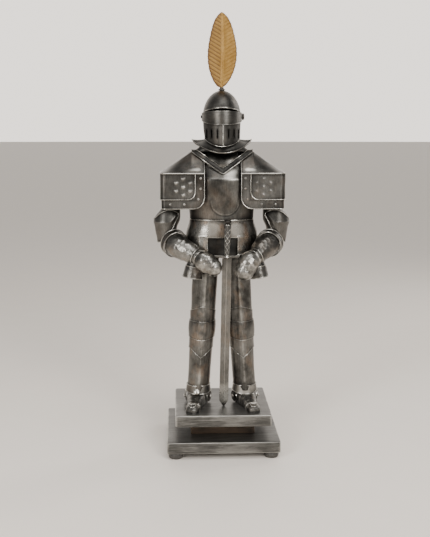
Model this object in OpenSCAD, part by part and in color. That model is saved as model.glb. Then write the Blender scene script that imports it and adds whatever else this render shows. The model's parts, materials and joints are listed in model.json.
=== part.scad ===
// Sheet-metal knight statuette on a stepped plinth.
// The figure faces -Y, its own left hand is on the +X side, and the origin lies
// under the middle of the four bun feet. All sizes are in millimetres.

/* [Plinth] */
// Side of the square upper board
upper_w = 130; // [118:1:170]
// Thickness of the upper board
upper_t = 15.6; // [12:0.2:22]
// Width of the spacer block between the boards
spacer_w = 88; // [78:1:104]
// Depth of the spacer block between the boards
spacer_d = 80; // [74:1:100]
// Height of the spacer block
spacer_h = 18; // [12:0.5:26]
// Side of the square lower board
lower_w = 152; // [140:1:190]
// Thickness of the lower board
lower_t = 15.4; // [12:0.2:22]
// Height of the bun feet
foot_h = 8.3; // [6:0.1:12]
// Radius of the bun feet
foot_r = 10; // [7:0.5:12]
// Radius of the screws that hold the boards together
screw_r = 2.5; // [2:0.1:3]
// Radius of the bolts that hold the boots down
bolt_r = 2; // [1.6:0.1:2.4]

/* [Legs] */
// Height of the leg tubes above the boots
leg_h = 215; // [160:1:280]
// Distance between the middles of the boots at the board
stance = 67.2; // [56:0.2:82]
// Radius of a leg tube at its ankle end
ankle_r = 15.3; // [12.8:0.1:17]
// Radius of a leg tube at its hip end
hip_r = 18.4; // [17:0.1:18.8]
// Distance from the middle of the figure to each leg's middle at the hip
hip_x = 19.3; // [19:0.1:24]
// Height of the crease down the front of each leg
leg_crease = 2.4; // [1:0.1:4]
// Wall of the rolled sheet
sheet = 1.2; // [1:0.1:1.5]

/* [Boots] */
// Height of the boot at the ankle
boot_h = 20; // [16:0.5:24]
// Distance from the ankle's middle to the tip of the toe
boot_len = 56; // [47:1:66]
// Radius of the toe
toe_r = 8.3; // [7:0.1:10]
// Angle that each boot turns out
toe_out = 9.5; // [0:0.5:15]

/* [Torso] */
// Height from the fauld's hem to the waist line
fauld_h = 46; // [38:1:55]
// Height from the waist line to the top of the breastplate
breast_h = 91; // [88:1:96]
// Half the width at the waist
waist_half_w = 43.5; // [40:0.5:47]
// Half the depth of the breastplate at the chest
chest_half_d = 36; // [32:0.5:38]
// Width of the notch in the fauld's hem
notch_w = 40; // [32:1:46]
// Height of the notch in the fauld's hem
notch_h = 23; // [18:1:28]
// Width of the collar band
collar_w = 7; // [5:0.5:9]

/* [Shoulders] */
// Distance from the middle of the figure to the outer face of a pauldron
pauldron_x = 81.5; // [78:0.5:92]
// Height of a pauldron's front panel
pauldron_h = 46; // [38:1:55]
// Half the depth of a pauldron
pauldron_half_d = 38.5; // [38:0.5:42]
// Width of the border strip left uncovered by the upper layer
border_w = 12.2; // [9:0.2:15]

/* [Arms] */
// Radius of the upper arm tube
arm_r = 11; // [9:0.2:11.4]
// Radius of the forearm at the elbow
elbow_r = 17.2; // [16:0.2:18.5]
// Radius of the forearm at the wrist
wrist_r = 11.2; // [10:0.2:12.5]
// Radius of the fist's knuckles
fist_r = 13; // [11.5:0.2:13.6]

/* [Sword] */
// Width of the blade
blade_w = 12.6; // [10:0.2:15]
// Thickness of the blade
blade_t = 3; // [2.4:0.2:4]
// Distance of the cross guard below the elbows
guard_drop = 38.9; // [38:0.1:44]
// Length of the grip
grip_h = 42; // [36:1:50]
// Angle that the sword leans forward
sword_lean = 7.9; // [6.5:0.1:9]

/* [Helmet] */
// Radius of the dome seen from the side
dome_r = 34.6; // [32:0.1:38]
// Half the width of the dome
dome_half_w = 25.4; // [23:0.1:28]
// Height of the visor pivot above the collar line
pivot_h = 46.2; // [45:0.1:54]
// Gap between the dome and the visor that turns over it
visor_gap = 0.9; // [0.6:0.1:1.4]
// Radius of the visor's pivot pins
pivot_r = 1.5; // [1.2:0.1:2]
// Height of the plume above its socket
plume_h = 97; // [80:1:120]
// Half the width of the plume
plume_half_w = 20.3; // [16:0.1:25]
// Radius of the plume's stem
stem_r = 1.5; // [1.2:0.1:2]

/* [Hidden] */

// Colours of the metals
pewter = "#5f5e59";
bright = "#a3a19a";
dark_steel = "#3c3b39";
bronze = "#8a7560";
silver = "#8f8c86";
gold = "#a98a4c";

// Sides of the curved surfaces that are made of flat facets
turn_n = 32;
$fn = 48;

// Gap between soldered layers
layer_gap = 0.1;
// Radial clearance of a fixed pin in its hole, and of a pin that turns or slides
fit = 0.05;
run = 0.1;
// A thickness too small to matter
eps = 0.01;

// Heights of the main levels
lower_z = foot_h;
spacer_z = lower_z + lower_t;
upper_z = spacer_z + spacer_h;
board_z = upper_z + upper_t;
ankle_z = board_z + boot_h;
hip_z = ankle_z + leg_h;
hem_z = hip_z - 22.6;
waist_z = hem_z + fauld_h;
collar_z = waist_z + breast_h;
fold_z = collar_z - 28.4;
pivot_z = collar_z + pivot_h;

// Side +1 is the figure's left, side -1 its right
function lerp(a, b, t) = a + (b - a) * t;
function unit(v) = v / norm(v);
function flat(rows) = [for (row = rows) each row];

// Faces between two rings of a grid, rows by columns, starting at point number `first`
function grid_faces(rows, cols, first, closed, flip) = [
    for (i = [0:rows - 2], j = [0:cols - (closed ? 1 : 2)])
        let(a = first + i * cols + j, b = first + i * cols + (j + 1) % cols, c = b + cols, d = a + cols)
        each flip ? [[a, c, b], [a, d, c]] : [[a, b, c], [a, c, d]]
];

// A curved sheet between an outer and an inner grid of points of the same size.
// Columns run clockwise seen from above and rows run upwards.
module sheet_metal(outer, inner, closed = false) {
    rows = len(outer);
    cols = len(outer[0]);
    count = rows * cols;
    last = (rows - 1) * cols;
    hem = [for (j = [0:cols - (closed ? 1 : 2)])
        let(k = (j + 1) % cols) each [[j, count + j, count + k], [j, count + k, k]]];
    rim = [for (j = [0:cols - (closed ? 1 : 2)])
        let(k = (j + 1) % cols)
        each [[last + j, count + last + k, count + last + j], [last + j, last + k, count + last + k]]];
    ends = closed ? [] : [for (i = [0:rows - 2])
        let(a = i * cols, b = a + cols, c = a + cols - 1, d = b + cols - 1)
        each [[a, b, count + b], [a, count + b, count + a], [c, count + d, d], [c, count + c, count + d]]];
    polyhedron(
        points = concat(flat(outer), flat(inner)),
        faces = concat(
            grid_faces(rows, cols, 0, closed, false), grid_faces(rows, cols, count, closed, true),
            hem, rim, ends
        ),
        convexity = 6
    );
}

// A solid through closed rings of points, each clockwise seen from above, with flat ends
module solid_rings(rings) {
    n = len(rings[0]);
    last = (len(rings) - 1) * n;
    polyhedron(
        points = flat(rings),
        faces = concat(
            grid_faces(len(rings), n, 0, true, false),
            [[for (j = [0:n - 1]) n - 1 - j], [for (j = [0:n - 1]) last + j]]
        ),
        convexity = 4
    );
}

// Points round the angles from a0 to a1; 0 degrees is the +X side and the front is at -90
function sweep(a0, a1, n) = [for (j = [0:n]) lerp(a0, a1, j / n)];
// A whole turn, clockwise from above
full_turn = [for (j = [0:turn_n - 1]) -j * 360 / turn_n];

// ---------------------------------------------------------------- plinth

module square_board(w, t, z) {
    translate([-w / 2, -w / 2, z]) cube([w, w, t]);
}

screw_x = spacer_w / 2 - 12;
screw_y = spacer_d / 2 - 12;
screw_head_r = 2 * screw_r;
screw_head_h = screw_r;
screw_tip_z = board_z - upper_t / 3;

// Runs its children at each of the four screws
module at_screws() {
    for (sx = [-1, 1], sy = [-1, 1])
        translate([sx * screw_x, sy * screw_y, 0]) children();
}

module base_feet() {
    foot_in = foot_r + 1.5;
    color(pewter)
        for (sx = [-1, 1], sy = [-1, 1])
            translate([sx * (lower_w / 2 - foot_in), sy * (lower_w / 2 - foot_in), 0])
                intersection() {
                    cylinder(h = foot_h, r = foot_r);
                    translate([0, 0, foot_h / 2]) sphere(r = norm([foot_r - 1, foot_h / 2]));
                }
}

module lower_plinth() {
    color(silver)
        difference() {
            square_board(lower_w, lower_t, lower_z);
            at_screws() {
                translate([0, 0, lower_z - 1]) cylinder(h = lower_t + 2, r = screw_r + fit);
                translate([0, 0, lower_z - 1]) cylinder(h = screw_head_h + 2, r = screw_head_r + fit);
            }
        }
}

module plinth_spacer() {
    color(dark_steel)
        difference() {
            translate([-spacer_w / 2, -spacer_d / 2, spacer_z]) cube([spacer_w, spacer_d, spacer_h]);
            at_screws() translate([0, 0, spacer_z - 1]) cylinder(h = spacer_h + 2, r = screw_r + fit);
        }
}

// A shallow socket under the sword's point
tip_socket_h = 1.5;

module upper_plinth() {
    color(silver)
        difference() {
            square_board(upper_w, upper_t, upper_z);
            at_screws()
                translate([0, 0, upper_z - 1]) cylinder(h = screw_tip_z - upper_z + 1.5, r = screw_r + fit);
            at_bolts() {
                translate([0, 0, upper_z - 1]) cylinder(h = upper_t + 2, r = bolt_r + fit);
                translate([0, 0, upper_z - 1]) cylinder(h = bolt_head_h + 1, r = bolt_head_r + fit);
            }
            translate([tip_x, tip_y, board_z - tip_socket_h])
                cylinder(h = 2 * tip_socket_h, r = tip_socket_r);
        }
}

module plinth_screws() {
    color(bright)
        at_screws() {
            translate([0, 0, lower_z + 1]) cylinder(h = screw_tip_z - lower_z - 1, r = screw_r);
            translate([0, 0, lower_z + 0.5]) cylinder(h = screw_head_h, r = screw_head_r);
        }
}

bolt_head_r = 2 * bolt_r;
bolt_head_h = 1.5 * bolt_r;
bolt_tip_z = board_z + boot_h / 2 - 2;

// Runs its children at each of the four boot bolts
module at_bolts() {
    for (side = [-1, 1], y = [0, instep_y])
        at_boot(side) translate([0, y, 0]) children();
}

module boot_bolts() {
    color(bright)
        at_bolts() {
            translate([0, 0, upper_z + 0.2]) cylinder(h = bolt_head_h - 0.2, r = bolt_head_r);
            translate([0, 0, upper_z + 1]) cylinder(h = bolt_tip_z - upper_z - 1, r = bolt_r);
        }
}

// ---------------------------------------------------------------- boots

// The frame of a boot: its ankle's middle, with the toe towards -Y
module at_boot(side) {
    translate([side * stance / 2, 0, 0]) rotate([0, 0, side * toe_out]) children();
}

instep_y = -0.4 * boot_len;
toe_y = -(boot_len - toe_r);
toe_h = 0.45 * boot_h;

module boot_form() {
    hull() {
        translate([0, 0, board_z])
            cylinder(h = boot_h, r = ankle_r - 0.3, $fn = turn_n);
        translate([0, instep_y, board_z])
            cylinder(h = 0.72 * boot_h, r1 = lerp(ankle_r, toe_r, 0.5), r2 = toe_r, $fn = turn_n);
        translate([0, toe_y, board_z])
            cylinder(h = toe_h, r1 = toe_r, r2 = toe_r - 1.6, $fn = turn_n);
    }
}

module boot(side) {
    color(pewter)
        difference() {
            at_boot(side) boot_form();
            at_boot(side)
                for (y = [0, instep_y])
                    translate([0, y, board_z - 1])
                        cylinder(h = bolt_tip_z - board_z + 1.5, r = bolt_r + fit);
        }
}

module toe_cap(side) {
    cap_t = 0.9;
    color(bright)
        at_boot(side)
            difference() {
                hull() {
                    translate([0, toe_y, board_z])
                        cylinder(h = toe_h + cap_t, r1 = toe_r + cap_t, r2 = toe_r - 0.8, $fn = turn_n);
                    translate([0, toe_y + toe_r, board_z])
                        cylinder(
                            h = toe_h + cap_t + 1.6, r1 = toe_r + cap_t, r2 = toe_r - 0.8, $fn = turn_n
                        );
                }
                boot_form();
                translate([-20, toe_y + 0.75 * toe_r, board_z - 1]) cube([40, 40, 40]);
            }
}

// The ankle cuff reaches below and above the top of the boot
cuff_low = 3.5;
cuff_high = 7.5;

module ankle_cuff(side) {
    color(bright)
        difference() {
            translate([leg_x(ankle_z) * side, 0, ankle_z - cuff_low])
                cylinder(h = cuff_low + cuff_high, r = ankle_r + leg_crease + 0.2);
            at_boot(side) boot_form();
            leg_solid(side, layer_gap, ankle_z - 1, ankle_z + 2 * cuff_high);
        }
}

module ankle_rondels(side) {
    rondel_r = 8;
    rondel_z = board_z + 0.44 * boot_h;
    color(pewter)
        at_boot(side)
            for (s = [-1, 1])
                difference() {
                    translate([s * (ankle_r - 1), -1, rondel_z])
                        rotate([0, 90 - s * 4, s * 12]) {
                            translate([0, 0, s > 0 ? 0 : -4]) cylinder(h = 4, r = 2);
                            translate([0, 0, s > 0 ? 1.6 : -2.8]) cylinder(h = sheet, r = rondel_r);
                            translate([0, 0, s > 0 ? 2.4 : -2.4]) sphere(r = 2.6);
                        }
                    boot_form();
                    translate([0, 0, ankle_z - cuff_low - layer_gap])
                        cylinder(h = 2 * cuff_high, r = ankle_r + leg_crease + 2);
                }
}

// ---------------------------------------------------------------- legs

function leg_x(z) = lerp(stance / 2, hip_x, (z - board_z) / (hip_z - board_z));
function leg_r(z) = lerp(ankle_r, hip_r, (z - ankle_z) / leg_h);
// The crease fades out 35 degrees to each side of the front
function crease(a) = leg_crease * max(0, 1 - abs(a + 90) / 35);
// A point on a leg at angle a (front -90) and height z, d outside its surface
function leg_point(side, a, z, d) =
    let(r = leg_r(z) + crease(a) + d) [side * leg_x(z) + r * cos(a), r * sin(a), z];
// Angles round a leg, with one at the crease and one at each side of it
leg_turn = [for (a = [270:-10:-80]) (a == 270 ? -90 : a)];

module leg_solid(side, d, z0, z1) {
    solid_rings([for (z = [z0, z1]) [for (a = leg_turn) leg_point(side, a, z, d)]]);
}

module leg_tube(side) {
    ends = [ankle_z, hip_z];
    color(pewter)
        sheet_metal(
            [for (z = ends) [for (a = leg_turn) leg_point(side, a, z, 0)]],
            [for (z = ends) [for (a = leg_turn) leg_point(side, a, z, -sheet)]],
            closed = true
        );
}

// Levels of the knee armour, as shares of the leg's height
knee_peak_z = ankle_z + 0.557 * leg_h;
knee_top_z = ankle_z + 0.457 * leg_h;
knee_low_z = ankle_z + 0.336 * leg_h;
knee_tip_z = ankle_z + 0.221 * leg_h;
lap = 4;
// Half the angle that the knee armour covers
knee_wrap = 110;
knee_turn = sweep(-90 + knee_wrap, -90 - knee_wrap, 22);
// How far round from the front an angle is, 0 to 1
function side_share(a) = abs(a + 90) / knee_wrap;

// A knee lame between two edges given at the front and at the sides
module knee_lame(side, low_front, low_side, top_front, top_side, d0, bulge = 0) {
    rows = bulge > 0 ? 6 : 1;
    function edge_z(a, v) = lerp(
        lerp(low_front, low_side, pow(side_share(a), 1.3)),
        lerp(top_front, top_side, side_share(a)), v
    );
    function grid(d) = [for (i = [0:rows]) [for (a = knee_turn)
        leg_point(side, a, edge_z(a, i / rows), d + bulge * sin(180 * i / rows))]];
    sheet_metal(grid(d0 + sheet), grid(d0));
}

module knee_upper_lame(side) {
    color(pewter)
        knee_lame(side, knee_top_z - lap, knee_top_z - lap, knee_peak_z, knee_peak_z - 11, layer_gap);
}

module knee_plate(side) {
    over = sheet + 3 * layer_gap;
    color(pewter)
        knee_lame(side, knee_low_z, knee_low_z + 5, knee_top_z, knee_top_z, over, bulge = 1.2);
}

module knee_lower_lame(side) {
    color(pewter)
        knee_lame(side, knee_tip_z, knee_tip_z + 12, knee_low_z + lap, knee_low_z + 5 + lap, layer_gap);
}

// ---------------------------------------------------------------- torso

hem_half_w = waist_half_w + 4;
chest_half_w = waist_half_w + 6.5;
waist_half_d = chest_half_d - 4.5;
hem_half_d = waist_half_d + 1;
chest_z = fold_z - 8.6;
yoke_z = fold_z + 12.4;
// Half width and half depth of the torso by height
half_w_table = [
    [hem_z, hem_half_w], [waist_z - 20, waist_half_w + 4.8], [waist_z, waist_half_w],
    [chest_z, chest_half_w], [yoke_z, chest_half_w - 4], [collar_z, 40]
];
half_d_table = [
    [hem_z, hem_half_d], [waist_z, waist_half_d], [chest_z - 10, chest_half_d - 0.6], [chest_z, chest_half_d],
    [yoke_z, 25], [collar_z, 13]
];
// A point on the torso at angle a, a rounded rectangle in plan, d outside its surface
plan_power = 0.92;
function rounded(c) = sign(c) * pow(abs(c), plan_power);
function torso_point(a, z, d) = [
    (lookup(z, half_w_table) + d) * rounded(cos(a)),
    (lookup(z, half_d_table) + d) * rounded(sin(a)),
    z
];
function torso_grid(angles, levels, d) = [for (z = levels) [for (a = angles) torso_point(a, z, d)]];
front_half = sweep(-0.5, -179.5, 26);
back_half = sweep(179.5, 0.5, 26);

module torso_half(angles, levels) {
    sheet_metal(torso_grid(angles, levels, 0), torso_grid(angles, levels, -sheet));
}

breast_levels = [waist_z + layer_gap, chest_z - 10, chest_z, yoke_z, collar_z];
fauld_levels = [hem_z, waist_z - 20, waist_z - layer_gap];

// Room cut from the torso for the shoulder bar and for the pauldrons' roofs
module torso_cuts() {
    under = roof_t + 0.8;
    translate([0, 0, shoulder_z]) rotate([0, 90, 0])
        cylinder(h = 4 * chest_half_w, r = shoulder_bar_r + fit, center = true);
    for (side = [-1, 1])
        mirror([side < 0 ? 1 : 0, 0, 0])
            translate([0, 2 * chest_half_d, 0]) rotate([90, 0, 0])
                linear_extrude(4 * chest_half_d)
                    polygon([
                        [pauldron_in - 1, roof_sections[0][2] - under], [roof_neck_x, collar_z - under],
                        [2 * roof_neck_x, collar_z - under], [2 * roof_neck_x, collar_z + 9],
                        [pauldron_in - 1, collar_z + 9]
                    ]);
}

module breastplate() {
    color(pewter)
        difference() {
            torso_half(front_half, breast_levels);
            torso_cuts();
            rotate([90, 0, 0])
                linear_extrude(2 * chest_half_d)
                    polygon(concat(collar_line(collar_w), [[0, 2 * collar_z]]));
        }
}

module backplate() {
    color(pewter)
        difference() {
            torso_half(back_half, breast_levels);
            torso_cuts();
        }
}

module fauld_front() {
    color(bronze)
        difference() {
            torso_half(front_half, fauld_levels);
            translate([-notch_w / 2, -2 * chest_half_d, hem_z - 1])
                cube([notch_w, 2 * chest_half_d, notch_h + 1]);
        }
}

module fauld_back() {
    color(bronze) torso_half(back_half, fauld_levels);
}

module loin_panel() {
    panel_y = -(waist_half_d - 7.5);
    panel_over = 4;
    color(dark_steel)
        translate([-notch_w / 2 - panel_over, panel_y, hem_z - 5])
            cube([notch_w + 2 * panel_over, sheet, notch_h + 9]);
}

// The V of the collar, seen from the front, raised above its lower edge
collar_half_w = 40.8;
collar_tip_drop = 29.4;
function collar_line(rise) = [
    [-collar_half_w, collar_z + rise],
    [0, collar_z - collar_tip_drop + rise],
    [collar_half_w, collar_z + rise]
];

module v_band() {
    outer_edge = collar_line(0);
    inner_edge = collar_line(1.1 * collar_w);
    proud = sheet + layer_gap;
    color(dark_steel)
        intersection() {
            sheet_metal(
                torso_grid(sweep(-4, -176, 20), [chest_z, yoke_z, collar_z], proud),
                torso_grid(sweep(-4, -176, 20), [chest_z, yoke_z, collar_z], layer_gap)
            );
            rotate([90, 0, 0])
                linear_extrude(2 * chest_half_d)
                    polygon(concat(outer_edge, [inner_edge[2], inner_edge[1], inner_edge[0]]));
        }
}

// A low cone that closes the top of the torso round the neck
module neck_cone() {
    top_w = 28;
    top_d = 16.5;
    top_h = 7.5;
    rows = [[lookup(collar_z, half_w_table), lookup(collar_z, half_d_table), layer_gap], [top_w, top_d, top_h]];
    function grid(d) = [for (r = rows)
        [for (a = full_turn) [(r[0] + d) * cos(a), (r[1] + d) * sin(a), collar_z + r[2]]]];
    color(dark_steel) sheet_metal(grid(0), grid(-sheet), closed = true);
}

// The collar: its V in front and its cone round the neck, two sheets of one piece
module v_collar() {
    v_band();
    neck_cone();
}

// The sheet behind the V, under the breastplate
module gorget() {
    half_w = pauldron_in - 1.4;
    levels = [chest_z + 5, yoke_z, collar_z];
    color(pewter)
        intersection() {
            sheet_metal(
                torso_grid(sweep(-20, -160, 20), levels, -sheet - layer_gap),
                torso_grid(sweep(-20, -160, 20), levels, -2 * sheet - layer_gap)
            );
            translate([-half_w, -2 * chest_half_d, chest_z]) cube([2 * half_w, 2 * chest_half_d, breast_h]);
        }
}

// Inner frame: hip plate on the leg tubes, spine, and the bar that carries the arms
spine_r = 8;
hip_plate_t = 3;
shoulder_bar_r = 4;
shoulder_z = fold_z - 10;

module torso_frame() {
    hip_plate_w = 2 * (leg_x(hip_z) + 0.9 * hip_r);
    color(dark_steel) {
        difference() {
            union() {
                translate([-hip_plate_w / 2, -0.7 * hip_r, hip_z])
                    cube([hip_plate_w, 1.4 * hip_r, hip_plate_t]);
                translate([0, 0, hip_z]) cylinder(h = collar_z - 6 - hip_z, r = spine_r);
                translate([0, 0, shoulder_z]) rotate([0, 90, 0])
                    cylinder(h = 2 * (shoulder_x + arm_r - 4), r = shoulder_bar_r, center = true);
            }
            translate([0, 0, collar_z - 30]) cylinder(h = 40, r = post_spigot_r + fit);
        }
    }
}

// ---------------------------------------------------------------- pauldrons

pauldron_in = 24.4;
pauldron_corner = 6;
under_corner = 15;
over_corner = 10;
pauldron_low_z = fold_z - pauldron_h;

// Plan of the pauldron, from above, for the +X side, grown by d
module pauldron_plan(d) {
    c = pauldron_corner + d;
    x1 = pauldron_x + d;
    y1 = pauldron_half_d + d;
    square_in = pauldron_in - 5;
    union() {
        translate([square_in, -y1]) square([x1 - c - square_in, 2 * y1]);
        translate([x1 - 2 * c, -y1 + c]) square([2 * c, 2 * (y1 - c)]);
        for (s = [-1, 1]) translate([x1 - c, s * (y1 - c)]) circle(r = c);
    }
}

// Front view of one layer of a pauldron, with its lower inner corner rounded
module pauldron_outline(x0, z0, z1, corner) {
    translate([x0 + corner, z0]) square([100, z1 - z0]);
    translate([x0, z0 + corner]) square([100, z1 - z0 - corner]);
    translate([x0 + corner, z0 + corner]) circle(r = corner);
}

// The wall of one layer, from d0 to d1 outside the pauldron's plan
module pauldron_wall(x0, z0, corner, d0, d1) {
    intersection() {
        translate([0, 0, z0 - 1])
            linear_extrude(fold_z - z0 + 1)
                difference() {
                    pauldron_plan(d1);
                    pauldron_plan(d0);
                }
        translate([0, 100, 0]) rotate([90, 0, 0])
            linear_extrude(200) pauldron_outline(x0, z0, fold_z, corner);
    }
}

// Sections across the roof of a pauldron, front to back, at growing distances from the neck
roof_t = 1.5;
roof_neck_x = 41;
roof_sections = [
    [pauldron_in, 26, collar_z - 12.5],
    [roof_neck_x, 12, collar_z],
    [pauldron_x - pauldron_corner, 18, fold_z + 4],
    [pauldron_x, 20, fold_z + 1]
];
function roof_rows(d) = [for (s = roof_sections)
    let(
        x = s[0],
        half_d = s[0] < pauldron_x ? pauldron_half_d : pauldron_half_d - pauldron_corner,
        low = fold_z - eps - d,
        top = s[2] - d
    )
    [[x, -half_d, low], [x, -s[1], top], [x, s[1], top], [x, half_d, low]]];

module pauldron_under(side) {
    color(pewter)
        mirror([side < 0 ? 1 : 0, 0, 0]) {
            pauldron_wall(pauldron_in, pauldron_low_z, under_corner, -sheet, 0);
            sheet_metal(roof_rows(0), roof_rows(roof_t));
        }
}

module pauldron_over(side) {
    color(pewter)
        mirror([side < 0 ? 1 : 0, 0, 0])
            pauldron_wall(
                pauldron_in + border_w, pauldron_low_z + border_w, over_corner,
                layer_gap, layer_gap + sheet
            );
}

// Places of the border rivets: distance in from the inner edge and up from the lower edge
rivet_places = [[5.2, 40], [5.2, 26.5], [8, 12.6], [26.6, 6], [45, 6]];

module pauldron_rivets(side) {
    rivet_r = 1.7;
    color(bright)
        for (p = rivet_places)
            translate([side * (pauldron_in + p[0]), -pauldron_half_d, pauldron_low_z + p[1]])
                intersection() {
                    sphere(r = rivet_r);
                    translate([-rivet_r, -2 * rivet_r, -rivet_r]) cube(2 * rivet_r);
                }
}

// ---------------------------------------------------------------- arms

shoulder_x = 66;
elbow_x = 76.3;
elbow_z = pauldron_low_z - 23.1;
// The hands meet a little to the figure's left of the middle
hand_shift = 4.6;

// Stations down an arm: [middle, radius, direction]
function arm_stations(side) = [
    [[side * shoulder_x, 0, shoulder_z + 6], arm_r, [0, 0, -1]],
    [[side * (elbow_x - 7.8), 0, pauldron_low_z - 2], arm_r, [side * 0.15, 0, -1]],
    [[side * (elbow_x - 2.6), -2, elbow_z - 6], arm_r, [side * -0.1, -0.3, -1]],
    [[side * (elbow_x - 8), -10.5, elbow_z - 20], arm_r - 0.6, [side * -0.4, -0.8, -0.6]]
];
function forearm_stations(side) = [
    [[side * 62.5, -19, elbow_z - 26.5], elbow_r - 0.6, [side * -0.42, -0.86, -0.3]],
    [[side * 55.5, -27.5, elbow_z - 30.5], elbow_r - 1.8, [side * -0.55, -0.78, -0.32]],
    [
        [side * 46 + hand_shift / 2, -35, elbow_z - 35.5],
        lerp(elbow_r, wrist_r, 0.62), [side * -0.7, -0.62, -0.36]
    ],
    [[side * 40.5 + hand_shift, -40, elbow_z - 40], wrist_r, [side * -0.75, -0.55, -0.36]]
];

// A ring of points round a station, d outside its radius, clockwise seen along its direction
function station_ring(s, d) =
    let(n = unit(s[2]), u = unit(cross(n, [0, 1, 0.2])), v = cross(n, u))
    [for (a = full_turn) s[0] + (s[1] + d) * (cos(a) * u + sin(a) * v)];

module arm_solid(stations, d) {
    solid_rings([for (s = stations) station_ring(s, d)]);
}

module arm_tube(stations) {
    sheet_metal(
        [for (s = stations) station_ring(s, 0)],
        [for (s = stations) station_ring(s, -sheet)],
        closed = true
    );
}

module upper_arm(side) {
    color(pewter)
        difference() {
            arm_tube(arm_stations(side));
            translate([0, 0, shoulder_z]) rotate([0, 90, 0])
                cylinder(h = 4 * shoulder_x, r = shoulder_bar_r + fit, center = true);
        }
}

// The elbow plate is a pointed shell round an upright axis, open towards the body
cop_x = elbow_x - 1.8;
cop_tip_r = 18.5;
cop_top_r = 15;
cop_low_r = 14;

module elbow_cop(side) {
    top_z = pauldron_low_z - 1;
    low_z = elbow_z - 25;
    profile = [[cop_low_r, low_z], [cop_tip_r, elbow_z], [cop_top_r, top_z]];
    color(pewter)
        difference() {
            intersection() {
                translate([side * cop_x, 0, 0])
                    rotate_extrude()
                        polygon(concat(profile, [for (i = [2:-1:0]) profile[i] - [sheet, 0]]));
                // Front view of the plate, a pointed oval
                rotate([90, 0, 0])
                    translate([side * cop_x, elbow_z, -30])
                        linear_extrude(60)
                            mirror([side > 0 ? 0 : 1, 0])
                                polygon([
                                    [22, 0], [14, -25], [8.6, -24.5], [2, -19], [-7, -10],
                                    [-12.2, 2.2], [-13, 14], [-8, 19.5], [16, 19.5], [22, 8]
                                ]);
            }
            arm_solid(arm_stations(side), layer_gap);
            arm_solid(cuff_stations(side), layer_gap);
        }
}

// The cuff sits round the elbow end of the forearm
function cuff_stations(side) =
    let(s = forearm_stations(side)[0], n = unit(s[2]))
    [[s[0] - 9 * n, elbow_r + 1, s[2]], [s[0] - 1 * n, elbow_r + 0.9, s[2]]];

module elbow_cuff(side) {
    color(bright)
        difference() {
            arm_tube(cuff_stations(side));
            arm_solid(arm_stations(side), layer_gap);
        }
}

module forearm(side) {
    color(bright) arm_tube(forearm_stations(side));
}

// Fist: wrist, knuckles and finger tips, each a middle and a radius
function fist_balls(side) =
    let(w = forearm_stations(side)[3])
    [
        [w[0] + 6.8 * unit(w[2]), wrist_r - 0.6],
        [[side * 30.8 + hand_shift + 0.2, -49, elbow_z - 45], fist_r],
        side < 0
            ? [[-13.5, -53, elbow_z - 53], 0.75 * fist_r]
            : [[28, -53, elbow_z - 57.5], 0.85 * fist_r]
    ];

module fist_form(side, d) {
    balls = fist_balls(side);
    hull() for (b = balls) translate(b[0]) sphere(r = b[1] + d, $fn = 24);
}

module gauntlet_hand(side) {
    w = forearm_stations(side)[3];
    n = unit(w[2]);
    color(bright)
        difference() {
            fist_form(side, 0);
            // flat seat on the end of the forearm
            solid_rings([for (back = [14, -layer_gap]) station_ring([w[0] - back * n, 2 * wrist_r, n], 0)]);
        }
}

module gauntlet_cuff(side) {
    cuff_r = 13.2;
    cuff_x = side * 44.8 + hand_shift * 0.8;
    cuff_top_z = elbow_z - 53;
    cuff_low_z = elbow_z - 68;
    color(bright)
        difference() {
            translate([cuff_x, -36, cuff_low_z])
                rotate([0, -side * 9, 0])
                    difference() {
                        cylinder(h = cuff_top_z - cuff_low_z, r1 = cuff_r, r2 = cuff_r - 1.6);
                        translate([0, 0, -1])
                            cylinder(
                                h = cuff_top_z - cuff_low_z + 2,
                                r1 = cuff_r - sheet, r2 = cuff_r - 1.6 - sheet
                            );
                    }
            fist_form(side, layer_gap);
        }
}

// ---------------------------------------------------------------- sword

// Lean to the side, degrees
sword_side_lean = 0.7;
tip_gap = 0.4;
// The guard's middle, level with the fists
guard_x = 4.7;
guard_y = -50;
guard_l = (elbow_z - guard_drop - board_z + tip_socket_h - tip_gap) / cos(sword_lean);
tip_x = guard_x - guard_l * sin(sword_side_lean);
tip_y = guard_y + guard_l * sin(sword_lean);
tip_socket_r = blade_w / 2 + 0.8;
point_h = 9;

// The sword's own frame: its point at the origin and its grip upwards
module at_sword() {
    translate([tip_x, tip_y, board_z - tip_socket_h + tip_gap])
        rotate([sword_lean, sword_side_lean, 0]) children();
}

guard_t = 4;
guard_len = 33.2;
blade_top = guard_l - guard_t / 2;

tang_r = 1.4;
// Section across the blade, a flat diamond
blade_section = [[-blade_w / 2, 0], [0, -blade_t / 2], [blade_w / 2, 0], [0, blade_t / 2]];

module sword_blade() {
    color(silver)
        at_sword() {
            translate([0, 0, point_h]) linear_extrude(blade_top - point_h) polygon(blade_section);
            hull() {
                translate([0, 0, point_h]) linear_extrude(eps) polygon(blade_section);
                translate([0, 0, eps]) cube([0.8, 0.4, eps], center = true);
            }
            // tang through the guard and the grip
            translate([0, 0, blade_top]) cylinder(h = guard_t + grip_h, r = tang_r);
        }
}

module sword_guard() {
    boss = 7;
    color(bright)
        at_sword()
            difference() {
                union() {
                    translate([-guard_len / 2, -guard_t / 2, blade_top]) cube([guard_len, guard_t, guard_t]);
                    translate([0, 0, blade_top + guard_t / 2]) rotate([90, 0, 0])
                        cylinder(h = guard_t + 1.6, r = boss / 2, center = true, $fn = 4);
                }
                translate([0, 0, blade_top - 2]) cylinder(h = guard_t + 6, r = tang_r + fit);
                translate([-boss / 2, -boss / 2, blade_top - boss]) cube([boss, boss, boss]);
                translate([-boss / 2, -boss / 2, blade_top + guard_t]) cube([boss, boss, boss]);
            }
}

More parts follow.
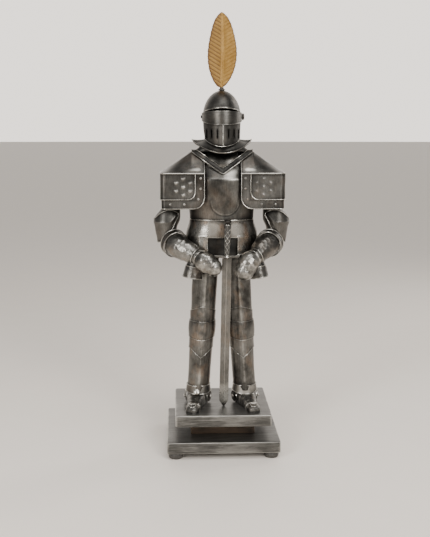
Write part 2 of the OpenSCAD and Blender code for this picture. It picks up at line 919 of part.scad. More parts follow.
module sword_grip() {
    color(dark_steel)
        at_sword()
            translate([0, 0, blade_top + guard_t])
                difference() {
                    cylinder(h = grip_h, r1 = 3.1, r2 = 4.4);
                    translate([0, 0, -1]) cylinder(h = grip_h + 2, r = tang_r + fit);
                }
}

module sword_pommel() {
    pommel_r = 4.8;
    color(bright)
        at_sword()
            translate([0, 0, blade_top + guard_t + grip_h])
                intersection() {
                    translate([0, 0, 1]) sphere(r = pommel_r);
                    cylinder(h = 2 * pommel_r, r = pommel_r);
                }
}

// ---------------------------------------------------------------- neck and helmet

post_spigot_r = 5;
post_r = 9;
neck_z = collar_z + 14;
bearing_t = 2;
// Height of the bearing plate's upper face above the neck line
bearing_top = 3;

module neck_post() {
    color(dark_steel) {
        translate([0, 0, collar_z - 6])
            cylinder(h = neck_z + bearing_top - bearing_t - run - collar_z + 6, r = post_r);
        translate([0, 0, collar_z - 24]) cylinder(h = 20, r = post_spigot_r);
        translate([0, 0, neck_z - 1]) cylinder(h = bearing_top + 9, r = post_spigot_r);
    }
}

// The dome turns about the pivot line, so the visor clears it at every angle
jaw_half_w = dome_half_w - 2.6;
back_low_z = neck_z + bearing_top + 0.2;
brow_h = 10.4;
brow_drop = 4.8;
face_half_turn = 68;

// The skull's plan at height z: half its width and half its depth
function skull_w(z) = z >= pivot_z
    ? dome_half_w * pow(max(0, 1 - pow((z - pivot_z) / dome_r, 2)), 0.5)
    : lerp(jaw_half_w, dome_half_w, (z - back_low_z) / (pivot_z - back_low_z));
function skull_d(z) = z >= pivot_z
    ? dome_r * pow(max(0, 1 - pow((z - pivot_z) / dome_r, 2)), 0.5)
    : lerp(dome_r - 5, dome_r, (z - back_low_z) / (pivot_z - back_low_z));
// Point on the skull at angle a (front -90), height z, d outside
function skull_point(a, z, d) =
    let(w = skull_w(z) + d, e = skull_d(z) + d) [w * cos(a), e * sin(a), z];
// Lower edge of the skull: the brow in front, the neck elsewhere
function brow_z(a) = pivot_z + brow_h - brow_drop * pow(abs(cos(a)), 2);
function skull_low(a) = abs(a + 90) < face_half_turn ? brow_z(a) : back_low_z;

// Angles round the skull, doubled where the face opening starts
skull_turn = concat(
    sweep(-90 + face_half_turn - 0.3, -90 - face_half_turn + 0.3, 13),
    sweep(-90 - face_half_turn - 0.3, -90 - 360 + face_half_turn + 0.3, 23)
);
crown_h = 1.2;
skull_mid_z = pivot_z + brow_h + 1.5;
skull_top_z = pivot_z + dome_r - crown_h;
// Two rows reach from the lower edge to just above the brow, and the others round the dome
function skull_rows(d) = [for (i = [-2:6]) [for (a = skull_turn)
    let(low = skull_low(a < -270 ? a + 360 : a))
    skull_point(
        a, i < 0 ? lerp(low, skull_mid_z, (i + 2) / 2) : lerp(skull_mid_z, skull_top_z, sin(15 * i)), d
    )]];

module helmet_skull() {
    color(pewter)
        difference() {
            union() {
                sheet_metal(skull_rows(0), skull_rows(-sheet), closed = true);
                translate([0, 0, pivot_z + dome_r - crown_h - 0.6]) cylinder(h = sheet, r = crown_r + 0.4);
            }
            pivot_line(pivot_r + fit);
            translate([0, 0, pivot_z]) cylinder(h = 2 * dome_r, r = socket_spigot_r + fit);
        }
}

crown_r = dome_half_w * pow(1 - pow((dome_r - crown_h) / dome_r, 2), 0.5);

// A bar of radius r along the pivot line
module pivot_line(r) {
    translate([0, 0, pivot_z]) rotate([0, 90, 0]) cylinder(h = 4 * dome_half_w, r = r, center = true);
}

// The flare dips in front and behind and rises at the sides
flare_r = 38;
flare_d = 43;
flare_mid_z = neck_z - 8;
flare_dip = 7;
flare_neck_w = jaw_half_w - sheet - 0.2;
flare_neck_d = dome_r - 5 - sheet - 0.2;
// The last row is a short upright collar inside the skull
function flare_rows(d) = [for (t = [0, 0.3, 0.65, 1, 2]) [for (a = full_turn)
    let(
        low = flare_mid_z + flare_dip * cos(2 * a),
        in = pow(min(t, 1), 0.5),
        w = lerp(flare_r, flare_neck_w, in),
        e = lerp(flare_d, flare_neck_d, in)
    )
    [
        (w + d) * cos(a), (e + d) * sin(a),
        t > 1 ? neck_z + 2 * bearing_top : lerp(low, neck_z + bearing_top, t)
    ]]];

module helmet_neck_flare() {
    color(pewter) {
        sheet_metal(flare_rows(0), flare_rows(-sheet), closed = true);
        difference() {
            solid_rings([for (z = [bearing_top - bearing_t, bearing_top]) [for (a = full_turn)
                [(flare_neck_w - sheet / 2) * cos(a), (flare_neck_d - sheet / 2) * sin(a), neck_z + z]]]);
            translate([0, 0, neck_z - 1]) cylinder(h = bearing_top + 2, r = post_spigot_r + run);
        }
    }
}

// Visor surface: half width and depth in front by height, for the inner face
visor_w = dome_half_w + 0.4;
visor_d = dome_r + visor_gap;
visor_low_z = neck_z - 7;
visor_side_rise = 11;
function visor_half_w(z) = z >= pivot_z
    ? visor_w
    : lerp(visor_w - 1.6, visor_w, (z - visor_low_z) / (pivot_z - visor_low_z));
function visor_depth(z) = z >= pivot_z
    ? sqrt(visor_d * visor_d - pow(z - pivot_z, 2))
    : visor_d + 0.6 * sin(180 * (pivot_z - z) / 60);
visor_ridge = 1.6;
function ridge(a) = visor_ridge * max(0, 1 - abs(a + 90) / 16);
function visor_point(a, z, d, ridged) =
    let(w = visor_half_w(z) + d, e = visor_depth(z) + d + (ridged ? ridge(a) : 0))
    [w * cos(a), e * sin(a), z];

band_top_h = 7;
band_low_h = -11;
band_side_h = 4.5;
band_turn = sweep(10, -190, 26);
// How far an angle is from the front, 0 there and 1 at the sides
function sideways(a) = min(1, abs(a + 90) / 90);

module visor_band() {
    function band_z(a, v) = pivot_z + lerp(
        lerp(band_low_h, -band_side_h, pow(sideways(a), 2)),
        lerp(band_top_h, band_side_h, pow(sideways(a), 2)), v
    );
    function grid(d) = [for (v = [0, 0.33, 0.66, 1])
        [for (a = band_turn) visor_point(a, band_z(a, v), d, false)]];
    color(dark_steel)
        difference() {
            sheet_metal(grid(sheet), grid(0));
            pivot_line(pivot_r + run);
        }
}

face_half = 66;
face_turn = sweep(-90 + face_half, -90 - face_half, 24);
slit_w = 1.8;
slit_h = 11;
slit_places = [7.5, 15, 21.3];

module visor_face_plate() {
    function edge_z(a, v) = lerp(
        visor_low_z + visor_side_rise * pow(sideways(a) * 90 / face_half, 2),
        pivot_z + band_low_h + 6.2 * pow(sideways(a), 2) - layer_gap, v
    );
    function grid(d) = [for (v = [0, 0.33, 0.66, 1])
        [for (a = face_turn) visor_point(a, edge_z(a, v), d, true)]];
    color(pewter)
        difference() {
            sheet_metal(grid(sheet), grid(0));
            for (s = [-1, 1], x = slit_places)
                translate([s * x - slit_w / 2, -60, neck_z + 4]) cube([slit_w, 60, slit_h]);
        }
}

module visor_pivots() {
    knob_r = 4.6;
    knob_t = 3;
    pin_in = dome_half_w - 4;
    head_x = visor_w + sheet + 0.4;
    color(bright)
        for (s = [-1, 1])
            translate([0, 0, pivot_z]) rotate([0, s * 90, 0]) {
                translate([0, 0, pin_in]) cylinder(h = head_x - pin_in + 0.5, r = pivot_r);
                translate([0, 0, head_x]) cylinder(h = s > 0 ? knob_t : 1, r = s > 0 ? knob_r : 0.6 * knob_r);
            }
}

socket_spigot_r = 2.8;
socket_z = pivot_z + dome_r;
socket_top = 4;
stem_in = 8;

module plume_socket() {
    color(bright)
        difference() {
            union() {
                translate([0, 0, socket_z - 7]) cylinder(h = 8, r = socket_spigot_r);
                translate([0, 0, socket_z + 0.1]) cylinder(h = 1.2, r = 1.7 * socket_spigot_r);
                translate([0, 0, socket_z]) cylinder(h = socket_top, r = socket_spigot_r);
            }
            translate([0, 0, socket_z + socket_top - stem_in - 0.5])
                cylinder(h = stem_in + 2, r = stem_r + run);
        }
}

// Half width of the plume at a share v of its height, and the sideways sweep of its midrib
function plume_half(v) = 2.4 + (plume_half_w - 2.4) * pow(sin(180 * pow(v, 0.88)), 0.75) * (1 - 0.1 * v);
function plume_mid(v) = 1.4 * sin(180 * v) - 1.2 * (1 - v);
// A point on the plume's edge, on the side s, rounded in at the tip
function plume_edge(s, v) = plume_mid(v) + s * plume_half(v) * (1 - pow(v, 14));

module plume() {
    plume_t = 1.6;
    steps = 28;
    stem_top = socket_z + socket_top + 0.2;
    edge_up = [for (i = [0:steps]) [plume_edge(1, i / steps), stem_top + plume_h * i / steps]];
    edge_down = [for (i = [steps - 1:-1:0]) [plume_edge(-1, i / steps), stem_top + plume_h * i / steps]];
    color(gold) {
        translate([0, plume_t / 2, 0]) rotate([90, 0, 0])
            linear_extrude(plume_t) polygon(concat(edge_up, edge_down));
        translate([0, 0, stem_top - stem_in]) cylinder(h = stem_in + 2, r = stem_r);
    }
}

base_feet();
lower_plinth();
plinth_spacer();
upper_plinth();
plinth_screws();
boot_bolts();
leg_tube(-1);  // right_leg_tube
leg_tube(1);  // left_leg_tube
knee_upper_lame(-1);  // right_knee_upper_lame
knee_upper_lame(1);  // left_knee_upper_lame
knee_plate(-1);  // right_knee_plate
knee_plate(1);  // left_knee_plate
knee_lower_lame(-1);  // right_knee_lower_lame
knee_lower_lame(1);  // left_knee_lower_lame
boot(-1);  // right_boot
boot(1);  // left_boot
toe_cap(-1);  // right_toe_cap
toe_cap(1);  // left_toe_cap
ankle_cuff(-1);  // right_ankle_cuff
ankle_cuff(1);  // left_ankle_cuff
ankle_rondels(-1);  // right_ankle_rondels
ankle_rondels(1);  // left_ankle_rondels
fauld_front();
fauld_back();
loin_panel();
breastplate();
backplate();
gorget();
v_collar();
torso_frame();
pauldron_under(-1);  // right_pauldron_under
pauldron_under(1);  // left_pauldron_under
pauldron_over(-1);  // right_pauldron_over
pauldron_over(1);  // left_pauldron_over
pauldron_rivets(-1);  // right_pauldron_rivets
pauldron_rivets(1);  // left_pauldron_rivets
upper_arm(-1);  // right_upper_arm
upper_arm(1);  // left_upper_arm
elbow_cop(-1);  // right_elbow_cop
elbow_cop(1);  // left_elbow_cop
elbow_cuff(-1);  // right_elbow_cuff
elbow_cuff(1);  // left_elbow_cuff
forearm(-1);  // right_forearm
forearm(1);  // left_forearm
gauntlet_cuff(-1);  // right_gauntlet_cuff
gauntlet_cuff(1);  // left_gauntlet_cuff
gauntlet_hand(-1);  // right_gauntlet_hand
gauntlet_hand(1);  // left_gauntlet_hand
sword_blade();
sword_guard();
sword_grip();
sword_pommel();
neck_post();
helmet_skull();
helmet_neck_flare();
visor_pivots();
visor_band();
visor_face_plate();
plume_socket();
plume();
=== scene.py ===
"""Finished surfaces of a sheet-metal knight statuette that stands on a stepped plinth."""

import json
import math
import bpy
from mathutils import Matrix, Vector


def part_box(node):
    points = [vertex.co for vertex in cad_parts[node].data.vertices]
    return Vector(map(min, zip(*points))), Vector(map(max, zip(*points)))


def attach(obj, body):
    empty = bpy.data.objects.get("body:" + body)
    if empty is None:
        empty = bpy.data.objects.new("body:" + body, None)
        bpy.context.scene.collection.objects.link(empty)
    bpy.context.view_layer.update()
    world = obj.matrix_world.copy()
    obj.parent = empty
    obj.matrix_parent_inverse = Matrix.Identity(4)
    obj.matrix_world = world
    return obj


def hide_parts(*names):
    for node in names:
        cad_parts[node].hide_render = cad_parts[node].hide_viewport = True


bl_info = {
    "name": "Armoured Knight Statuette",
    "version": (1, 0, 0),
    "blender": (4, 5, 0),
    "location": "3D View > Sidebar > Knight",
    "description": "Builds the armour, sword, plume and plinth of a sheet-metal knight statuette",
    "category": "Object",
}

import bmesh
import bpy
import numpy as np
from bpy.props import FloatProperty, FloatVectorProperty, IntProperty, PointerProperty
from mathutils import Vector

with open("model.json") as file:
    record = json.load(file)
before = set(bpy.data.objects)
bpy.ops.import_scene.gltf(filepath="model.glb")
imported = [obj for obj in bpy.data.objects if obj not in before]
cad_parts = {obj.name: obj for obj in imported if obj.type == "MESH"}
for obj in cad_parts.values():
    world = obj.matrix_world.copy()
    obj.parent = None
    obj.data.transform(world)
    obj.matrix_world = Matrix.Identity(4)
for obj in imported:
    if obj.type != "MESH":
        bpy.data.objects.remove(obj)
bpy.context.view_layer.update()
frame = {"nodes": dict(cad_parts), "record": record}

# ------------------------------------------------------------------ levels, in millimetres


def low(node):
    return np.array(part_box(node)[0]) * 1000


def high(node):
    return np.array(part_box(node)[1]) * 1000


board_z = high("upper_plinth")[2]
ankle_z = low("right_leg_tube")[2]
hip_z = high("right_leg_tube")[2]
hem_z = low("fauld_back")[2]
waist_z = low("backplate")[2] - 0.1
collar_z = high("backplate")[2]
fold_z = high("left_pauldron_over")[2]
pauldron_low_z = low("left_pauldron_under")[2]
over_low_z = low("left_pauldron_over")[2]
elbow_z = pauldron_low_z - 23.1
pivot_z = (low("visor_pivots")[2] + high("visor_pivots")[2]) / 2
neck_z = collar_z + 14
socket_z = high("plume_socket")[2] - 4
chest_z = fold_z - 8.6
yoke_z = fold_z + 12.4
knee_peak_z = high("right_knee_upper_lame")[2]
knee_top_z = high("right_knee_plate")[2]
knee_low_z = low("right_knee_plate")[2]
knee_tip_z = low("right_knee_lower_lame")[2]
half_stance = 33.6
pauldron_x = high("left_pauldron_over")[0] - 1.3
pauldron_half_d = high("left_pauldron_over")[1] - 1.3
wall = 1.2
thin_wall = 1.0
trim_wall = 0.9
both_sides = ((-1, "right"), (1, "left"))
front = -90.0

# ------------------------------------------------------------------ numbers and noise


def turns(n):
    """n angles evenly spaced round a circle, in degrees."""
    return np.arange(n) * 360 / n


def xyz(x, y, z):
    """Points whose three coordinates are worked out apart and stretched to one shape."""
    return np.stack(np.broadcast_arrays(x, y, z), -1)


def bell(x, width):
    """1 where x is 0, fading out on both sides: e to the power of minus the square of x over the width."""
    return np.exp(-((x / width) ** 2))


def lerp(a, b, t):
    return a + (b - a) * t


def unit(v):
    v = np.asarray(v, float)
    return v / np.maximum(np.linalg.norm(v, axis=-1, keepdims=True), 1e-9)


def cosd(a):
    return np.cos(np.radians(a))


def sind(a):
    return np.sin(np.radians(a))


def ease(x, start, end):
    """0 before start and 1 after end, with a smooth step between them."""
    t = np.clip((np.asarray(x, float) - start) / (end - start), 0, 1)
    return t * t * (3 - 2 * t)


def through(x, knots, values):
    """A smooth curve through stations: cubic pieces whose slopes are the means of the two sides' slopes."""
    knots, values = np.asarray(knots, float), np.asarray(values, float)
    slopes = np.diff(values, axis=0) / np.diff(knots).reshape((-1,) + (1,) * (values.ndim - 1))
    tangents = np.concatenate([slopes[:1], (slopes[1:] + slopes[:-1]) / 2, slopes[-1:]])
    x = np.clip(np.asarray(x, float), knots[0], knots[-1])
    i = np.clip(np.searchsorted(knots, x, side="right") - 1, 0, len(knots) - 2)
    h = knots[i + 1] - knots[i]
    t = (x - knots[i]) / h
    if values.ndim > 1:
        t, h = t[..., None], h[..., None]
    return (
        (2 * t**3 - 3 * t**2 + 1) * values[i]
        + (t**3 - 2 * t**2 + t) * h * tangents[i]
        + (3 * t**2 - 2 * t**3) * values[i + 1]
        + (t**3 - t**2) * h * tangents[i + 1]
    )


def scatter(cell, seed):
    """A number from 0 to 1 for each whole-numbered lattice cell, always the same for the same cell."""
    c = cell.astype(np.int64).astype(np.uint64)
    n = c[..., 0] * np.uint64(374761393) + c[..., 1] * np.uint64(668265263)
    n = n + c[..., 2] * np.uint64(2246822519) + np.uint64(seed * 3266489917)
    n = (n ^ (n >> np.uint64(15))) * np.uint64(2654435761)
    n = (n ^ (n >> np.uint64(13))) & np.uint64(0xFFFFFF)
    return n.astype(float) / 0xFFFFFF


def wobble(points, size, seed=1):
    """Smooth noise from -1 to 1: random values at the corners of a lattice, blended in between."""
    p = np.asarray(points, float) / size
    base = np.floor(p)
    f = p - base
    f = f * f * (3 - 2 * f)
    total = 0
    for corner in np.ndindex(2, 2, 2):
        weight = np.prod(np.where(np.array(corner) == 1, f, 1 - f), axis=-1)
        total = total + weight * scatter(base + np.array(corner), seed)
    return 2 * total - 1


def dents(points, size, seed=1):
    """Hammer marks: the distance to the nearest of one jittered centre in each lattice cell, 0 to about 1."""
    p = np.asarray(points, float) / size
    base = np.floor(p)
    nearest = np.full(p.shape[:-1], 9.0)
    for step in np.ndindex(3, 3, 3):
        cell = base + np.array(step) - 1
        centre = cell + np.stack([scatter(cell, seed + k) for k in range(3)], -1)
        nearest = np.minimum(nearest, np.linalg.norm(p - centre, axis=-1))
    return nearest


# ------------------------------------------------------------------ surfaces
# A part is (points, list of face arrays, wear and painted light at each point). The value is 1 where the
# metal is rubbed bright and where highlights are painted, 0 where it keeps its patina, and -1 where dirt sits
# and where shade is painted.


def grid_quads(rows, cols, wrap=False, wrap_rows=False):
    """Faces between the neighbouring points of a grid that is stored row by row."""
    i, j = np.meshgrid(
        np.arange(rows if wrap_rows else rows - 1), np.arange(cols if wrap else cols - 1), indexing="ij"
    )
    k, l = (i + 1) % rows, (j + 1) % cols
    return np.stack([i * cols + j, i * cols + l, k * cols + l, k * cols + j], -1).reshape(-1, 4)


def grid_normals(grid, wrap=False):
    """Unit normals of a grid: the cross product of its differences along rows and along columns."""
    down = np.gradient(grid, axis=0)
    across = (np.roll(grid, -1, 1) - np.roll(grid, 1, 1)) / 2 if wrap else np.gradient(grid, axis=1)
    return unit(np.cross(across, down))


def turned_out(points, faces):
    """The same faces, all reversed if the solid that they close has a negative volume."""
    volume = 0.0
    for quads in faces:
        a, b, c = (points[quads[:, k]] for k in range(3))
        volume += np.einsum("ij,ij->", a, np.cross(b, c))
        if quads.shape[1] == 4:
            volume += np.einsum("ij,ij->", a, np.cross(c, points[quads[:, 3]]))
    return [f[:, ::-1] for f in faces] if volume < 0 else faces


def shell(outer, thick, centre, wrap=False, wear_and_painted_light=0.0, hidden_wear=-0.35):
    """Sheet metal: the outer grid, the same grid moved inwards along its normals, and strips along the
    borders."""
    rows, cols = outer.shape[:2]
    normals = grid_normals(outer, wrap)
    if np.sum(normals * (outer - np.asarray(centre, float))) < 0:
        normals = -normals
    inner = outer - thick * normals
    count = rows * cols
    quads = grid_quads(rows, cols, wrap)
    index = np.arange(count).reshape(rows, cols)
    index = np.concatenate([index, index[:, :1]], 1) if wrap else index

    def strip(a):
        return np.stack([a[1:], a[:-1], a[:-1] + count, a[1:] + count], -1)

    faces = [quads, quads[:, ::-1] + count, strip(index[0]), strip(index[-1][::-1])]
    if not wrap:
        faces += [strip(index[:, 0][::-1]), strip(index[:, -1])]
    points = np.concatenate([outer.reshape(-1, 3), inner.reshape(-1, 3)])
    wear_and_painted_light_values = np.concatenate([np.broadcast_to(wear_and_painted_light, (rows, cols)).ravel(), np.full(count, hidden_wear)])
    return points, turned_out(points, faces), wear_and_painted_light_values


def closed_grid(grid, wear_and_painted_light=0.0, wrap_rows=False):
    """A solid from a grid whose columns close on themselves and whose end rows shrink to a point or a
    flat."""
    rows, cols = grid.shape[:2]
    faces = [grid_quads(rows, cols, True, wrap_rows)]
    points = grid.reshape(-1, 3)
    wear_and_painted_light_values = np.broadcast_to(wear_and_painted_light, (rows, cols)).ravel()
    if not wrap_rows:
        ends = np.stack([grid[0].mean(0), grid[-1].mean(0)])
        count = rows * cols
        ring = np.arange(cols)
        following = (ring + 1) % cols
        last = count - cols
        faces.append(np.stack([following, ring, np.full(cols, count)], -1))
        faces.append(np.stack([ring + last, following + last, np.full(cols, count + 1)], -1))
        points = np.concatenate([points, ends])
        wear_and_painted_light_values = np.concatenate([wear_and_painted_light_values, [wear_and_painted_light_values[0], wear_and_painted_light_values[-1]]])
    return points, turned_out(points, faces), wear_and_painted_light_values


def bead(path, radius, out, closed=False, sides=10, wear_and_painted_light=0.5):
    """A round wire along a path: circles across the path, turned so that their first point faces out."""
    p = np.asarray(path, float)
    along = unit((np.roll(p, -1, 0) - np.roll(p, 1, 0)) if closed else np.gradient(p, axis=0))
    out = np.broadcast_to(np.asarray(out, float), p.shape)
    out = unit(out - along * np.sum(out * along, -1, keepdims=True))
    aside = np.cross(along, out)
    turn = turns(sides)
    radius = np.broadcast_to(radius, (len(p),))[:, None, None]
    ring = cosd(turn)[None, :, None] * out[:, None] + sind(turn)[None, :, None] * aside[:, None]
    return closed_grid(p[:, None] + radius * ring, wear_and_painted_light, wrap_rows=closed)


def rim_bead(ring, radius):
    """A bead round a closed rim, facing away from the rim's middle."""
    return bead(ring, radius, unit(ring - ring.mean(0)), closed=True)


def lathe(profile, centre, axis, sides=24, wear_and_painted_light=0.0, toward=(0.0, 0.0, 1.0)):
    """A turned form: a profile of (distance from the axis, height along it), carried round the axis."""
    n = unit(axis)
    side = unit(np.cross(n, toward)) if abs(np.dot(n, toward)) < 0.95 else unit(np.cross(n, [1.0, 0.0, 0.0]))
    other = np.cross(n, side)
    profile = np.asarray(profile, float)
    turn = turns(sides)
    ring = cosd(turn)[:, None] * side + sind(turn)[:, None] * other
    grid = np.asarray(centre, float) + profile[:, 1, None, None] * n + profile[:, 0, None, None] * ring[None]
    wear_and_painted_light = np.asarray(wear_and_painted_light, float)
    return closed_grid(grid, wear_and_painted_light[:, None] if wear_and_painted_light.ndim else wear_and_painted_light)


def dome(centre, axis, radius, height, sides=14, wear_and_painted_light=1.0):
    """A low round rivet head: a profile of height times the cosine of the distance out."""
    share = np.array([1.0, 0.98, 0.86, 0.64, 0.36, 0.1])
    rise = np.sqrt(1 - share**2) * height
    profile = np.concatenate([[[radius, -0.4 * height]], np.stack([share * radius, rise], -1)])
    return lathe(profile, centre, axis, sides, wear_and_painted_light)


def border_distance(grid, sides=("first", "last", "start", "end")):
    """How far each point of a grid is from the nearest of the named borders, measured over the surface."""
    down = np.linalg.norm(np.diff(grid, axis=0), axis=-1)
    across = np.linalg.norm(np.diff(grid, axis=1), axis=-1)
    zero_row, zero_col = np.zeros((1, grid.shape[1])), np.zeros((grid.shape[0], 1))
    from_first = np.concatenate([zero_row, np.cumsum(down, 0)])
    from_start = np.concatenate([zero_col, np.cumsum(across, 1)], 1)
    distances = {
        "first": from_first,
        "last": from_first[-1:] - from_first,
        "start": from_start,
        "end": from_start[:, -1:] - from_start,
    }
    return np.min([distances[s] for s in sides], axis=0)


def dirt_and_shade_beside_bead(distance, bead_r=0.9, reach=2.2):
    """Dirt and painted shade beside a soldered bead: darker in the corner, fading out over the reach."""
    return -0.9 * np.exp(-np.maximum(distance - bead_r, 0) / reach)


def rubbed(distance, reach=1.1):
    """Wear of a bare edge: bright at the edge, fading out over the reach."""
    return 0.95 * bell(distance, reach)


# ------------------------------------------------------------------ objects


def make_mesh(name, parts, material, sharp=35.0):
    """One object from several parts, in metres, with the wear and painted light of each point as an
    attribute.
    """
    starts = np.cumsum([0] + [len(p[0]) for p in parts])
    points = np.concatenate([p[0] for p in parts]) / 1000
    faces = [f + start for p, start in zip(parts, starts) for f in p[1]]
    mesh = bpy.data.meshes.new(name)
    mesh.from_pydata(points.tolist(), [], [face for group in faces for face in group.tolist()])
    wear_and_painted_light = mesh.attributes.new("wear_and_painted_light", "FLOAT", "POINT")
    wear_and_painted_light.data.foreach_set("value", np.concatenate([p[2] for p in parts]).astype(np.float32))
    work = bmesh.new()
    work.from_mesh(mesh)
    bmesh.ops.remove_doubles(work, verts=work.verts, dist=1e-6)
    work.to_mesh(mesh)
    work.free()
    mesh.shade_smooth()
    mesh.set_sharp_from_angle(angle=math.radians(sharp))
    mesh.materials.append(material)
    obj = bpy.data.objects.new(name, mesh)
    bpy.context.scene.collection.objects.link(obj)
    return obj


def add_piece(name, parts, slot, nodes=(), body="figure", look=None, sharp=35.0):
    """A finished piece that rides on a body and, if nodes are named, stands for them."""
    obj = make_mesh(name, parts, finish[look or slot], sharp)
    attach(obj, body)
    if nodes:
        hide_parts(*nodes)
    return obj


# ------------------------------------------------------------------ materials


def add(tree, kind, inputs=None, **settings):
    """A new node with its settings; an input that is a socket is linked, and any other is set."""
    node = tree.nodes.new(kind)
    for key, value in settings.items():
        setattr(node, key, value)
    for key, value in (inputs or {}).items():
        if isinstance(value, bpy.types.NodeSocket):
            tree.links.new(value, node.inputs[key])
        else:
            node.inputs[key].default_value = value
    return node


def calc(tree, operation, a, b=0.0, clamp=False):
    return add(tree, "ShaderNodeMath", {0: a, 1: b}, operation=operation, use_clamp=clamp).outputs[0]


def mixed(tree, share, a, b, mode="MIX"):
    node = add(tree, "ShaderNodeMix", {0: share, 6: a, 7: b}, data_type="RGBA", blend_type=mode)
    return node.outputs[2]


def spread(tree, value, low_in, high_in, low_out=0.0, high_out=1.0):
    """The value moved from one range to another, and kept inside it."""
    inputs = {"Value": value, "From Min": low_in, "From Max": high_in, "To Min": low_out, "To Max": high_out}
    return add(tree, "ShaderNodeMapRange", inputs).outputs[0]


def grain(tree, size, stretch=(1, 1, 1), detail=4.0, rough=0.55):
    """Noise on object coordinates; size is the grain's in millimetres, longer along an axis of less
    stretch."""
    place = add(tree, "ShaderNodeTexCoord").outputs["Object"]
    moved = add(tree, "ShaderNodeMapping", {"Vector": place, "Scale": stretch}).outputs[0]
    inputs = {"Vector": moved, "Scale": 1000.0 / size, "Detail": detail, "Roughness": rough}
    return add(tree, "ShaderNodeTexNoise", inputs).outputs["Fac"]


def new_tree(name):
    material = bpy.data.materials.new(name)
    material.use_nodes = True
    tree = material.node_tree
    tree.nodes.clear()
    return material, tree


def finish_tree(tree, colour, roughness, height, bump, metallic=1.0, **sockets):
    """The shader and its bump; bump is (strength, depth in millimetres)."""
    normal = add(
        tree, "ShaderNodeBump", {"Height": height, "Strength": bump[0], "Distance": bump[1] / 1000}
    ).outputs[0]
    inputs = {"Base Color": colour, "Roughness": roughness, "Normal": normal, "Metallic": metallic}
    inputs.update(sockets)
    shader = add(tree, "ShaderNodeBsdfPrincipled", inputs)
    add(tree, "ShaderNodeOutputMaterial", {"Surface": shader.outputs[0]})


def shade(colour, factor):
    return tuple(c * factor for c in colour[:3]) + (1.0,)


def metal(name, colour, bright, tint, patch, brush, rough, tinted, contrast):
    """Aged sheet metal: clouds of patina, brown bloom, fine brushing, rubbed edges, dirt and painted shade
    beside the beads, and the painted highlights and shade that the attribute carries."""
    material, tree = new_tree(name)
    clouds = grain(tree, patch, detail=6.0, rough=0.62)
    cloud = spread(tree, clouds, 0.36, 0.66)
    speck = grain(tree, 1.3, detail=3.0, rough=0.7)
    lines = grain(tree, 0.9, brush, detail=3.0, rough=0.6)
    bloom = spread(tree, grain(tree, patch * 0.8, (1, 1, 0.7), detail=5.0, rough=0.6), 0.5, 0.68, 0.0, tinted)
    base = mixed(tree, cloud, shade(colour, 1 - 0.45 * contrast), shade(colour, 1 + 0.25 * contrast))
    base = mixed(tree, bloom, base, tint)
    streak = spread(tree, lines, 0.3, 0.7, 0.78, 1.18)
    base = mixed(tree, 1.0, base, streak, "MULTIPLY")
    pits = spread(tree, speck, 0.60, 0.72, 0.0, 0.55)
    base = mixed(tree, pits, base, shade(colour, 0.25))
    wear_and_painted_light = add(tree, "ShaderNodeAttribute", attribute_name="wear_and_painted_light").outputs["Fac"]
    uneven = calc(tree, "ADD", wear_and_painted_light, calc(tree, "MULTIPLY", calc(tree, "SUBTRACT", clouds, 0.5), 0.9))
    # Rubbed edges and painted highlights: the bright colour where the attribute is high.
    rub_and_highlight = calc(tree, "MULTIPLY", spread(tree, uneven, 0.18, 0.8), spread(tree, wear_and_painted_light, 0.02, 0.2))
    # Dirt and painted shade: a dark colour where the attribute is low.
    dirt_and_shade = spread(tree, wear_and_painted_light, -0.05, -0.9, 0.0, 0.88)
    base = mixed(tree, rub_and_highlight, base, bright)
    base = mixed(tree, dirt_and_shade, base, shade(colour, 0.12))
    roughness = spread(
        tree,
        calc(tree, "ADD", calc(tree, "MULTIPLY", clouds, 0.6), calc(tree, "MULTIPLY", lines, 0.4)),
        0.3,
        0.7,
        *rough,
    )
    roughness = calc(tree, "SUBTRACT", roughness, calc(tree, "MULTIPLY", rub_and_highlight, 0.08))
    roughness = calc(tree, "ADD", roughness, calc(tree, "MULTIPLY", dirt_and_shade, 0.2), clamp=True)
    height = calc(tree, "ADD", calc(tree, "MULTIPLY", lines, 0.5), calc(tree, "MULTIPLY", speck, 0.5))
    finish_tree(tree, base, roughness, height, (0.35, 0.12))
    return material


